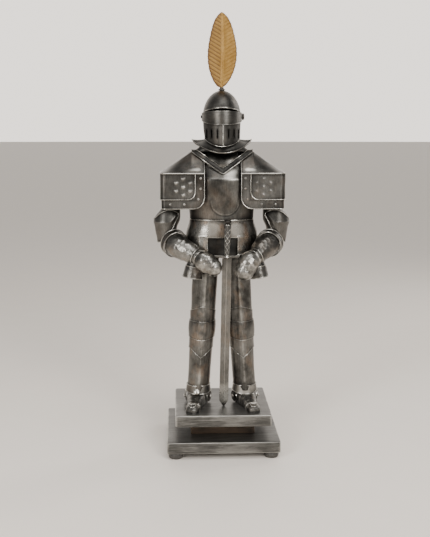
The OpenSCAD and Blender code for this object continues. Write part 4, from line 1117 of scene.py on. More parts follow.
        # Painted light lifts the gorget out of the flare's shadow, and painted shade darkens its top under
        # the flare.
        wear_and_painted_light = 0.25 - 0.3 * ease(z, collar_z - 8, collar_z - 2)
        add_piece(
            "gorget_sheet", [shell(uneven(grid, sizes, 37), wall, heart, wear_and_painted_light=wear_and_painted_light)], "aged_steel", ["gorget"]
        )
        return {"FINISHED"}


class KnightCollar(bpy.types.Operator):
    """The dark V between two bright beads, and the low cone round the neck"""

    bl_idname = "knight.collar"
    bl_label = "Collar"

    def execute(self, context):
        sizes = context.scene.knight_sizes
        run = np.concatenate([np.linspace(-1, 0, 40), np.linspace(0, 1, 40)[1:]])
        x = collar_half_w * run
        depth = through(np.abs(x), [0, 12, 24.4, 41], [-33.4, -31.0, -27.6, -13.6])
        outer = xyz(x, depth, collar_height(x))
        rise = 7.7 - 4.6 * ease(np.abs(x), 32, 41)
        inner = outer + xyz(0, np.interp(np.abs(x), [0, 41], [4.6, 1.5]), rise)
        v = np.linspace(0, 1, 9)[:, None, None]
        dish = np.array([0, 0.8, 0.35]) * np.sin(np.pi * v)
        grid = lerp(outer[None], inner[None], v) + dish
        wear_and_painted_light = dirt_and_shade_beside_bead(border_distance(grid, sides=("first", "last")), 0.8, 1.6)
        parts = [shell(grid, trim_wall, [0, 10, 380], wear_and_painted_light=wear_and_painted_light)]
        add_piece("v_collar_band", parts, "dark_band", ["v_collar"])

        turn = turns(120)
        v = np.linspace(0, 1, 9)[:, None]
        half_w, half_d = lerp(40.0, 28.0, v**0.8), lerp(13.0, 16.5, v**0.8)
        cone = xyz(half_w * cosd(turn), half_d * sind(turn), collar_z + lerp(0.2, 7.5, v))
        parts = [shell(cone, thin_wall, [0, 0, collar_z], True, -0.3)]
        add_piece("neck_cone", parts, "dark_band")

        way = unit(np.array([0, -1.0, 0.35]))
        beads = [bead(outer, sizes.bead_r, way), bead(inner, 0.8 * sizes.bead_r, way, wear_and_painted_light=0.5)]
        back = (turn > 12) & (turn < 168)
        beads.append(bead(cone[0][back], 0.8, unit(cone[0][back] * [1, 1, 0])))
        beads.append(bead(cone[-1], 0.6, unit(cone[-1] * [1, 1, 0]), closed=True))
        add_piece("collar_beads", beads, "bright_steel")
        return {"FINISHED"}


# ------------------------------------------------------------------ shoulders

pauldron_in, border_w, plan_corner = 24.4, 12.2, 6.0


def pauldron_plan(start, n, grow=0.0):
    """Points round a pauldron in plan: along the front, round the corner, along the side, and back behind.
    The start may differ from row to row, and each row's front has n points."""
    x1, y1, c = pauldron_x + grow, pauldron_half_d + grow, plan_corner + grow
    flat = np.linspace(0, 1, n)[None] ** 0.9
    front_x = lerp(start, x1 - c, flat)
    front_part = np.stack([front_x, np.full_like(front_x, -y1)], -1)
    turn = np.linspace(-90, 0, 9)[1:]
    corner = np.stack([x1 - c + c * cosd(turn), -y1 + c + c * sind(turn)], -1)
    side_y = np.linspace(-y1 + c, y1 - c, 24)[1:-1]
    side_part = np.stack([np.full_like(side_y, x1), side_y], -1)
    half = np.concatenate([corner, side_part, corner[::-1] * [1, -1]])
    half = np.broadcast_to(half[None], (front_part.shape[0],) + half.shape)
    return np.concatenate([front_part, half, front_part[:, ::-1] * [1, -1]], 1)


def pauldron_layer(x0, z0, z1, corner, grow, rows=30, n=44):
    """A wall hanging from the fold: rows that follow the pauldron's plan and start later near a rounded
    lower corner."""
    v = np.concatenate(
        [
            np.linspace(0, 1, rows // 2) ** 1.3 * corner / (z1 - z0),
            np.linspace(corner / (z1 - z0), 1, rows)[1:],
        ]
    )
    z = z0 + (z1 - z0) * v
    under = np.maximum(corner - (z - z0), 0)
    start = x0 + corner - np.sqrt(np.maximum(corner**2 - under**2, 0))
    plan = pauldron_plan(start[:, None], n, grow)
    return np.concatenate([plan, np.broadcast_to(z[:, None, None], plan.shape[:2] + (1,))], -1)


def border_path(grid):
    """A layer's front border: down the inner edge, round the corner and out along the bottom."""
    return np.concatenate([grid[::-1, 0], grid[0, 1:]])


class KnightShoulders(bpy.types.Operator):
    """Two-layered shoulder plates with a sloping roof, beads, rivets and a ring of bosses"""

    bl_idname = "knight.shoulders"
    bl_label = "Shoulders"

    def execute(self, context):
        sizes = context.scene.knight_sizes
        flip = np.array([-1, 1, 1])
        for side, name in both_sides:
            mirror = flip if side < 0 else 1
            heart = np.array([side * 55, 0, 352])

            under = pauldron_layer(pauldron_in, pauldron_low_z, fold_z, 15.0, 0.0)
            gap = border_distance(under, sides=("first", "start", "end"))
            over_gap = np.maximum(pauldron_in + border_w - under[..., 0], over_low_z - under[..., 2])
            # Dirt and painted shade along the borders, and painted shade under the edge of the over plate.
            wear_and_painted_light = dirt_and_shade_beside_bead(gap, 0.9, 2.4) - 0.7 * bell(over_gap - 0.5, 2.0)
            sheet = uneven(under * mirror, sizes, 41 + side, size=13)
            parts = [shell(sheet, wall, heart, wear_and_painted_light=wear_and_painted_light)]
            place = [[5.2, 40], [5.2, 26.5], [8, 12.6], [26.6, 6], [45, 6]]
            rivets = []
            for sy in (-1, 1):
                for x, z in place:
                    spot = [side * (pauldron_in + x), sy * pauldron_half_d, pauldron_low_z + z]
                    rivets.append(dome(spot, [0, sy, 0], 1.7, 1.0, wear_and_painted_light=0.35 if side < 0 else 0.2))
            roof_x = np.array([pauldron_in, 41.0, pauldron_x - plan_corner, pauldron_x])
            roof_y = np.array([26.0, 12.0, 18.0, 20.0])
            roof_z = np.array([collar_z - 12.5, collar_z, fold_z + 4.5, fold_z + 1.5])
            s = np.linspace(0, 1, 40)
            x = lerp(pauldron_in, pauldron_x, s)
            y_ridge, z_ridge = through(x, roof_x, roof_y), np.interp(x, roof_x, roof_z)
            half_d = np.where(
                x > pauldron_x - plan_corner,
                pauldron_half_d
                - plan_corner
                + np.sqrt(np.maximum(plan_corner**2 - (x - pauldron_x + plan_corner) ** 2, 0)),
                pauldron_half_d,
            )
            t = np.linspace(0, 1, 22)[None]
            belly = 1.1 * np.sin(np.pi * t) * ease(x, 24, 40)[:, None] * (1 - ease(x, 60, 84))[:, None]
            slope_y = lerp(-half_d[:, None], -y_ridge[:, None], t)
            slope_z = lerp(fold_z + 0.3, z_ridge[:, None], t) + belly
            front_slope = xyz(x[:, None], slope_y, slope_z)
            top_t = np.linspace(0, 1, 15)[None, 1:-1]
            flat_top = xyz(
                x[:, None],
                lerp(-y_ridge[:, None], y_ridge[:, None], top_t),
                z_ridge[:, None] + 0.8 * np.sin(np.pi * top_t),
            )
            roof = np.concatenate([front_slope, flat_top, (front_slope * [1, -1, 1])[:, ::-1]], 1)
            edge_gap = border_distance(roof, sides=("first", "start", "end"))
            roof_wear_and_painted_light = dirt_and_shade_beside_bead(edge_gap, 0.9, 2.6) - 0.12
            # Painted highlights on the roof by the fold, near its inner end.
            for bx, up, strength in ((33, 5, 0.8), (44, 4, 0.45)):
                roof_wear_and_painted_light = roof_wear_and_painted_light + painted_light_patch(roof, (bx, fold_z + up), (8, 3.5), strength)
            parts.append(
                shell(
                    uneven(roof * mirror, sizes, 43 + side, size=15, share=1.4), wall, heart, wear_and_painted_light=roof_wear_and_painted_light
                )
            )
            add_piece(name + "_pauldron_sheet", parts, "aged_steel", [name + "_pauldron_under"], sharp=32)
            add_piece(name + "_border_rivets", rivets, "bright_steel", [name + "_pauldron_rivets"])

            over = pauldron_layer(pauldron_in + border_w, over_low_z, fold_z, 10.0, 1.3, 60, 84)
            centre = np.array([52.5, 0, fold_z - 17.4])
            off = over - centre
            spots = [(0, 0)] + [(10.6 * cosd(k * 60 + 90), 10.6 * sind(k * 60 + 90)) for k in range(6)]
            rise, shine = np.zeros(over.shape[:2]), np.zeros(over.shape[:2])
            strength = 1.0 if side < 0 else 0.6
            for bx, bz in spots:
                d = np.hypot(off[..., 0] - side * bx, off[..., 2] - bz)
                rise += 0.85 * bell(d, 2.2) * (np.abs(over[..., 1]) > pauldron_half_d - 1)
                shine += bell(d, 2.0) * (np.abs(over[..., 1]) > pauldron_half_d - 1)
            sheet = uneven(over * mirror, sizes, 47 + side, size=12, share=1.3)
            normal = grid_normals(over * mirror)
            normal = normal * np.sign(np.sum(normal * (over * mirror - heart), -1).mean())
            sheet = sheet + normal * (strength * rise)[..., None]
            gap = border_distance(over, sides=("first", "start", "end", "last"))
            wear_and_painted_light = (
                dirt_and_shade_beside_bead(gap, 0.9, 2.2) + (0.6 if side < 0 else 0.2) * shine - (0.0 if side < 0 else 0.14)
            )
            add_piece(
                name + "_pauldron_over_sheet",
                [shell(sheet, wall, heart, wear_and_painted_light=wear_and_painted_light)],
                "aged_steel",
                [name + "_pauldron_over"],
                sharp=30,
            )

            ahead = np.array([0.0, -1.0, 0.0])
            beads = []
            for grid, lift in ((under, 0.1), (over, 0.0)):
                path = border_path(grid) * mirror
                away = unit((path - heart) * [1, 1, 0.2])
                away[np.abs(path[:, 1]) > pauldron_half_d - 1] = ahead
                away[path[:, 1] > pauldron_half_d - 1] = -ahead
                back_edge = grid[1:, -1] * mirror
                path = np.concatenate([path, back_edge])
                away = np.concatenate([away, np.tile(-ahead, (len(back_edge), 1))])
                beads.append(bead(path + away * lift, sizes.bead_r, away))
            fold = pauldron_plan(np.array([[pauldron_in]]), 44, 1.0)[0]
            fold = np.concatenate([fold, np.full((len(fold), 1), fold_z + 0.3)], 1) * mirror
            beads.append(bead(fold, 0.8, [0, 0, 1]))
            neck_edge = roof[0] * mirror
            beads.append(bead(neck_edge, 0.8, unit([side * -0.4, 0, 1])))
            add_piece(name + "_pauldron_beads", beads, "bright_steel")
        return {"FINISHED"}


# ------------------------------------------------------------------ arms

shoulder_x, elbow_x, hand_shift = 66.0, 76.3, 4.6
arm_r, elbow_r, wrist_r, fist_r = 11.0, 17.2, 11.2, 13.0
ring_turn = -turns(72)


def arm_stations(side):
    return (
        [[side * shoulder_x, 0, fold_z - 4], [side * (elbow_x - 7.8), 0, pauldron_low_z - 2],
         [side * (elbow_x - 2.6), -2, elbow_z - 6], [side * (elbow_x - 8), -10.5, elbow_z - 20]],
        [arm_r, arm_r, arm_r, arm_r - 0.6],
        [[0, 0, -1], [side * 0.15, 0, -1], [side * -0.1, -0.3, -1], [side * -0.4, -0.8, -0.6]],
    )


def forearm_stations(side):
    return (
        [[side * 62.5, -19, elbow_z - 26.5], [side * 55.5, -27.5, elbow_z - 30.5],
         [side * 46 + hand_shift / 2, -35, elbow_z - 35.5], [side * 40.5 + hand_shift, -40, elbow_z - 40]],
        [elbow_r - 0.6, elbow_r - 1.8, 13.5, wrist_r],
        [
            [side * -0.42, -0.86, -0.3],
            [side * -0.55, -0.78, -0.32],
            [side * -0.7, -0.62, -0.36],
            [side * -0.75, -0.55, -0.36],
        ],
    )


def tube_grid(stations, steps):
    """Rings across a smooth path through the stations; each ring's radius and direction are smooth in
    between."""
    middles, radii, ways = (np.asarray(s, float) for s in stations)
    place = np.concatenate([[0], np.cumsum(np.linalg.norm(np.diff(middles, axis=0), axis=1))])
    s = np.linspace(0, place[-1], steps)
    middle, radius, way = through(s, place, middles), through(s, place, radii), unit(through(s, place, ways))
    across = unit(np.cross(way, [0, 1, 0.2]))
    other = np.cross(way, across)
    ring = cosd(ring_turn)[None, :, None] * across[:, None] + sind(ring_turn)[None, :, None] * other[:, None]
    return middle[:, None] + radius[:, None, None] * ring, middle


def fist_path(side):
    wrist = np.array(forearm_stations(side)[0][3], float)
    way = unit(forearm_stations(side)[2][3])
    knuckle = np.array([side * 30.8 + hand_shift + 0.2, -49, elbow_z - 45])
    tip = np.array([-13.5, -53, elbow_z - 53]) if side < 0 else np.array([28, -53, elbow_z - 57.5])
    tip_r = (0.9 if side < 0 else 1.0) * fist_r
    return [
        wrist + 0.4 * way, wrist + 6.8 * way, knuckle, tip
    ], [wrist_r - 0.3, wrist_r + 0.9, fist_r + 1.2, tip_r]


class KnightArms(bpy.types.Operator):
    """Upper arms, pointed elbow plates, elbow cuffs and hammered forearms"""

    bl_idname = "knight.arms"
    bl_label = "Arms"

    def execute(self, context):
        sizes = context.scene.knight_sizes
        for side, name in both_sides:
            places, radii, ways = arm_stations(side)
            widened = [radii[0], radii[1] + 1.4, 17.3, 13.0, radii[3]]
            places = places[:2] + [[side * (elbow_x - 2.2), 0, elbow_z + 6]] + places[2:]
            ways = ways[:2] + [[side * 0.05, -0.1, -1]] + ways[2:]
            grid, _ = tube_grid((places, widened, ways), 70)
            grid = uneven(grid, sizes, 51 + side, True)
            add_piece(
                name + "_upper_arm_tube",
                [shell(grid, wall, grid.mean((0, 1)), True, -0.25)],
                "aged_steel",
                [name + "_upper_arm"],
            )

            turn = np.linspace(-150, 150, 121)[None]
            spread_turn = np.abs(turn)
            top = through(spread_turn, [0, 30, 60, 90, 120, 150], [6.5, 9.8, 15.8, 19.0, 18.8, 15.2])
            low_edge = through(
                spread_turn, [0, 30, 60, 90, 110, 130, 150], [-24.6, -24.6, -22.5, -16.5, -9, 1.5, 12.5]
            )
            fold = 2.8 + 9.5 * ease(spread_turn, 96, 138)
            fold = np.clip(fold, low_edge + 0.3, top - 0.3)
            v = np.linspace(0, 1, 25)[:, None]
            rel = np.concatenate([lerp(low_edge, fold, v), lerp(fold, top, v[1:])])
            radius = np.where(
                rel > fold, 18.5 - 3.5 * (rel - fold) / (19.5 - fold), 18.5 - 4.5 * (fold - rel) / (25 + fold)
            )
            facet = 0.9 * np.abs(sind(1.5 * (turn + 90))) * (rel < fold) * ease(fold - rel, 0, 8)
            radius = radius - facet
            grid = xyz(side * (elbow_x - 1.8 + radius * cosd(turn)), radius * sind(turn), elbow_z + rel)
            ridge = 0.3 * bell(rel - fold, 0.8)
            gap = border_distance(grid)
            heart = np.array([side * (elbow_x - 1.8), 0, elbow_z])
            wear_and_painted_light = ridge + dirt_and_shade_beside_bead(gap, 0.7, 1.8) - 0.4 * ease(rel - fold, 0, 3)
            parts = [shell(uneven(grid, sizes, 53 + side, size=10), wall, heart, wear_and_painted_light=wear_and_painted_light)]
            edge = np.concatenate([grid[0], grid[1:-1, -1], grid[-1][::-1], grid[1:-1, 0][::-1]])
            parts.append(bead(edge, 0.55, unit((edge - heart) * [1, 1, 0.3]), closed=True, sides=8, wear_and_painted_light=0.4))
            add_piece(name + "_elbow_plate", parts, "aged_steel", [name + "_elbow_cop"], sharp=26)

            stations = forearm_stations(side)
            first, way = np.array(stations[0][0], float), unit(stations[2][0])
            cuff_ends = [first - 9 * way, first + 0.2 * way]
            cuff, _ = tube_grid((cuff_ends, [elbow_r + 0.9, elbow_r + 0.7], [way, way]), 9)
            parts = [
                shell(
                    cuff,
                    thin_wall,
                    first,
                    True,
                    dirt_and_shade_beside_bead(border_distance(cuff, sides=("first", "last")), 0.7, 1.8),
                )
            ]
            parts += [rim_bead(ring, 0.8) for ring in (cuff[0], cuff[-1])]
            add_piece(
                name + "_elbow_cuff_sheet", parts, "bright_steel", [name + "_elbow_cuff"], look="aged_steel"
            )

            grid, middle = tube_grid(stations, 70)
            outward = unit(grid - middle[:, None])
            mark = dents(grid, sizes.dent, 61 + side)
            depth = sizes.dent_depth * (np.minimum(mark, 1) ** 2 - 0.45)
            grid = grid + outward * depth[..., None]
            gap = border_distance(grid, sides=("first", "last"))
            wear_and_painted_light = 0.5 * (np.minimum(mark, 1) - 0.55) + dirt_and_shade_beside_bead(gap, 0.6, 1.6)
            parts = [shell(grid, wall, grid.mean((0, 1)), True, wear_and_painted_light)]
            parts.append(rim_bead(grid[-1], 0.8))
            add_piece(
                name + "_forearm_tube",
                parts,
                "bright_steel",
                [name + "_forearm"],
                look="bright_steel" if side < 0 else "aged_steel",
                sharp=50,
            )
        return {"FINISHED"}


class KnightGauntlets(bpy.types.Operator):
    """Hammered fists and the flared cuffs below them"""

    bl_idname = "knight.gauntlets"
    bl_label = "Gauntlets"

    def execute(self, context):
        sizes = context.scene.knight_sizes
        for side, name in both_sides:
            middles, radii = fist_path(side)
            middles, radii = np.array(middles), np.array(radii)
            place = np.concatenate([[0], np.cumsum(np.linalg.norm(np.diff(middles, axis=0), axis=1))])
            body = np.linspace(0, place[-1], 46)
            middle, radius = through(body, place, middles), through(body, place, radii)
            way = unit(np.gradient(middle, axis=0))
            cap = np.linspace(0, 89, 16)[1:]
            middle = np.concatenate([middle, middle[-1] + radii[-1] * sind(cap)[:, None] * way[-1]])
            radius = np.concatenate([radius, radii[-1] * cosd(cap)])
            way = np.concatenate([way, np.tile(way[-1], (len(cap), 1))])
            across = unit(np.cross(way, [0, 0, 1.0]))
            other = np.cross(across, way)
            squeeze = lerp(1.0, 0.93, ease(np.arange(len(middle)), 0, 20))[:, None, None]
            ring = (
                cosd(ring_turn)[None, :, None] * across[:, None] * squeeze
                + sind(ring_turn)[None, :, None] * other[:, None]
            )
            grid = middle[:, None] + radius[:, None, None] * ring
            mark = dents(grid, sizes.dent * 0.95, 71 + side)
            taper = ease(np.arange(len(middle)), 0, 6)[:, None]
            outward = unit(grid - middle[:, None])
            depth = 1.25 * sizes.dent_depth * (np.minimum(mark, 1) ** 2 - 0.45) * taper
            across_fist = (grid[..., 2] - (elbow_z - 48)) / 7.2
            fingers = (
                0.55
                * np.abs(np.sin(np.pi * across_fist)) ** 0.6
                * ease(np.arange(len(middle)), 26, 34)[:, None]
                * (grid[..., 1] < middle[:, None, 1] + 2)
            )
            grid = grid + outward * (depth + 0.7 * fingers - 0.35)[..., None]
            wear_and_painted_light = (
                0.2
                + 0.55 * (np.minimum(mark, 1) - 0.5)
                - 0.9 * (1 - ease(np.arange(len(middle)), 0, 4))[:, None]
            )
            parts = [closed_grid(grid, wear_and_painted_light)]
            if side > 0:
                spot = middle[14] + np.array([3.0, -radius[14] * 0.93, 1.5])
                parts.append(dome(spot, [0.15, -1, 0.1], 2.0, 1.1, 16, 0.3))
            band = grid[9]
            lift = unit(band - middle[9])
            parts.append(bead(band + 0.2 * lift, 0.55, lift, closed=True, sides=8, wear_and_painted_light=0.6))
            add_piece(name + "_fist", parts, "bright_steel", [name + "_gauntlet_hand"], sharp=50)

            tilt = math.radians(-side * 9)
            base = np.array([side * 44.8 + hand_shift * 0.8, -36, elbow_z - 68])
            turn = turns(72)
            levels = np.array([0, 2, 5, 8, 11, 14, 15.2, 17.5, 21, 26])
            widths = np.array([13.2, 12.9, 12.5, 12.1, 11.8, 11.5, 10.3, 9.8, 9.6, 9.6])
            h = np.linspace(0, 26, 40)
            r = np.interp(h, levels, widths)
            local = xyz(r[:, None] * cosd(turn), r[:, None] * sind(turn), h[:, None])
            local = (
                local
                + unit(local * [1, 1, 0]) * (
                    0.45 * (np.minimum(dents(local, 5.0, 81 + side), 1) ** 2 - 0.5)
                )[..., None]
            )
            x, y, z = np.moveaxis(local, -1, 0)
            grid = (
                base
                + xyz(x * math.cos(tilt) + z * math.sin(tilt), y, -x * math.sin(tilt) + z * math.cos(tilt))
            )
            # A darker band above the upper bead, and painted shade towards the top, where the cuff goes under
            # the fist.
            wear_and_painted_light = -0.05 - 0.7 * bell(h - 16.2, 1.4)[:, None] - 0.5 * ease(h, 19, 26)[:, None]
            parts = [shell(grid, thin_wall, grid.mean((0, 1)), True, wear_and_painted_light)]
            for row in (0, int(np.argmin(np.abs(h - 14.4)))):
                parts.append(rim_bead(grid[row], 0.75))
            add_piece(
                name + "_gauntlet_cuff_sheet", parts, "bright_steel", [name + "_gauntlet_cuff"],
                look="aged_steel", sharp=45,
            )
        return {"FINISHED"}


# ------------------------------------------------------------------ sword

lean, side_lean = math.radians(7.9), math.radians(0.7)
blade_w, blade_t, guard_t, guard_len, grip_h = 12.6, 3.0, 4.0, 33.2, 42.0
point_h, slot_depth, wire_r = 9.0, 1.1, 0.55
guard_up = (elbow_z - 38.9 - board_z + slot_depth) / math.cos(lean)
sword_tip = (
    np.array([4.7, -50, 0])
    - guard_up * np.array([math.sin(side_lean), -math.sin(lean), 0])
    + [0, 0, board_z - slot_depth]
)


def at_sword(points):
    """Points in the sword's own frame, its point at the origin and its grip upwards, moved to the figure's
    sword."""
    x, y, z = np.moveaxis(np.asarray(points, float), -1, 0)
    y, z = y * math.cos(lean) - z * math.sin(lean), y * math.sin(lean) + z * math.cos(lean)
    x, z = (
        x * math.cos(side_lean) + z * math.sin(side_lean), -x * math.sin(side_lean) + z * math.cos(side_lean)
    )
    return xyz(x, y, z) + sword_tip


class KnightSword(bpy.types.Operator):
    """A ridged blade, thin cross guard, wire-wound grip and small pommel"""

    bl_idname = "knight.sword"
    bl_label = "Sword"

    def execute(self, context):
        sizes = context.scene.knight_sizes
        top = guard_up - guard_t / 2
        quarter = np.array([[-1, 0], [-0.97, 0.06], [-0.5, 0.5], [-0.04, 0.96], [0, 1]])
        upper = np.concatenate([quarter, quarter[-2:0:-1] * [-1, 1]])
        section = np.concatenate([upper, upper[:1] * [-1, 1], upper[:0:-1] * [1, -1]])
        z = np.concatenate([np.linspace(0.05, point_h, 10), np.linspace(point_h, top - 0.05, 80)[1:]])
        taper = np.where(z < point_h, 0.05 + 0.95 * (z / point_h) ** 0.9, 1.0)
        nick = 1 - 0.012 * np.maximum(0, wobble(xyz(0, 0, z), 3.0, 5))
        x = section[None, :, 0] * (blade_w / 2 * taper * nick)[:, None]
        y = -section[None, :, 1] * (blade_t / 2 * taper)[:, None]
        grid = at_sword(xyz(x, y, z[:, None]))
        # The ridge and edges are rubbed bright, and painted shade darkens the blade below the guard.
        wear_and_painted_light = (
            np.broadcast_to(np.where(np.isin(np.arange(16), [0, 4, 8, 12]), 0.85, 0.0), x.shape)
            - 0.5 * ease(z, top - 14, top)[:, None]
        )
        # Painted highlight down the lower blade, fading out at the point.
        wear_and_painted_light = wear_and_painted_light + 0.8 * (ease(-z, -48, -14) * ease(z, 0, 8))[:, None]
        tang = lathe(
            [[0.1, top - 1], [1.4, top - 1], [1.4, top + 46], [0.1, top + 46]], [0, 0, 0], [0, 0, 1], 16
        )
        tang = (at_sword(tang[0]), tang[1], tang[2])
        add_piece(
            "blade", [closed_grid(grid, wear_and_painted_light), tang], "blade_steel", ["sword_blade"], body="sword", sharp=12
        )

        half = guard_len / 2
        u = np.linspace(-1, 1, 61)
        thick = 0.5 * guard_t * lerp(0.72, 0.98, np.abs(u) ** 1.5)
        turn = turns(24)
        sx = u[:, None] * half
        sy = thick[:, None] * np.sign(cosd(turn)) * np.abs(cosd(turn)) ** 0.5
        sz = top + guard_t / 2 + thick[:, None] * np.sign(sind(turn)) * np.abs(sind(turn)) ** 0.5
        bar = closed_grid(at_sword(xyz(sx, sy, sz)), 0.05 + 0.3 * (np.abs(sind(2 * turn)) > 0.8)[None])
        parts = [bar]
        for s in (-1, 1):
            corner = np.array([[3.6, 0.2], [3.3, 0.9], [1.6, 1.9], [0.1, 2.4]])
            ring = turns(4)
            grid = xyz(
                corner[:, 0, None] * cosd(ring),
                s * (1.6 + corner[:, 1, None]),
                top + guard_t / 2 + corner[:, 0, None] * sind(ring),
            )
            parts.append(closed_grid(at_sword(grid), 0.9))
        add_piece(
            "cross_guard", parts, "bright_steel", ["sword_guard"], look="aged_steel", body="sword", sharp=35
        )

        z = np.linspace(0, grip_h, 40)
        r = lerp(2.75, 4.0, z / grip_h)
        turn = turns(32)
        core = xyz(r[:, None] * cosd(turn), r[:, None] * sind(turn), top + guard_t + z[:, None])
        add_piece("grip_core", [closed_grid(at_sword(core), 0)], "grip_wood", ["sword_grip"], body="sword")
        wires = []
        z = np.linspace(0.6, grip_h - 0.6, 110)
        r = lerp(2.85, 4.1, z / grip_h)
        for way in (-1, 1):
            for k in range(sizes.wires):
                phase = way * z / grip_h * 360 * 1.35 + k * 360 / sizes.wires
                path = at_sword(xyz(r * cosd(phase), r * sind(phase), top + guard_t + z))
                axis = at_sword(xyz(0, 0, top + guard_t + z))
                wires.append(bead(path, wire_r, path - axis, sides=6, wear_and_painted_light=0.3))
        for h, rr in ((0.5, 3.1), (grip_h - 0.5, 4.3)):
            ring = turns(36)
            path = at_sword(xyz(rr * cosd(ring), rr * sind(ring), np.full(36, top + guard_t + h)))
            wires.append(bead(path, wire_r, path - path.mean(0), closed=True, sides=8, wear_and_painted_light=0.5))
        add_piece("grip_wire", wires, "bright_steel", look="aged_steel", body="sword")

        profile = np.array(
            [
                [0.1, 0], [3.4, 0], [3.6, 0.6], [3.0, 1.2], [4.2, 2.2], [4.8, 3.6], [4.6, 4.8], [3.6, 5.5],
                [2.0, 5.8], [0.1, 5.85],
            ]
        )
        s = np.linspace(0, len(profile) - 1, 40)
        profile = through(s, np.arange(len(profile)), profile)
        pommel = lathe(profile, [0, 0, top + guard_t + grip_h], [0, 0, 1], 40, -0.6)
        add_piece(
            "pommel",
            [(at_sword(pommel[0]), pommel[1], pommel[2])],
            "bright_steel",
            ["sword_pommel"],
            look="dark_band",
            body="sword",
        )
        return {"FINISHED"}


# ------------------------------------------------------------------ helmet

dome_r, dome_w, jaw_w = 34.6, 25.4, 22.8
back_low = neck_z + 3.2
brow_h, brow_drop, face_half_turn = 10.4, 4.8, 68.0


def skull_point(angle, z, out=0.0):
    """A point on the helmet's skull: an ellipsoid above the pivots, and a tube that narrows to the jaw
    below them."""
    up = np.clip((z - pivot_z) / dome_r, 0, 1)
    below = np.clip((z - back_low) / (pivot_z - back_low), 0, 1)
    shrink = np.sqrt(np.maximum(1 - up**2, 0))
    w = np.where(z >= pivot_z, dome_w * shrink, lerp(jaw_w, dome_w, below * (2 - below)))
    d = np.where(z >= pivot_z, dome_r * shrink, lerp(dome_r - 5, dome_r, below * (2 - below)))
    return xyz((w + out * shrink) * cosd(angle), (d + out * shrink) * sind(angle), z + out * up)


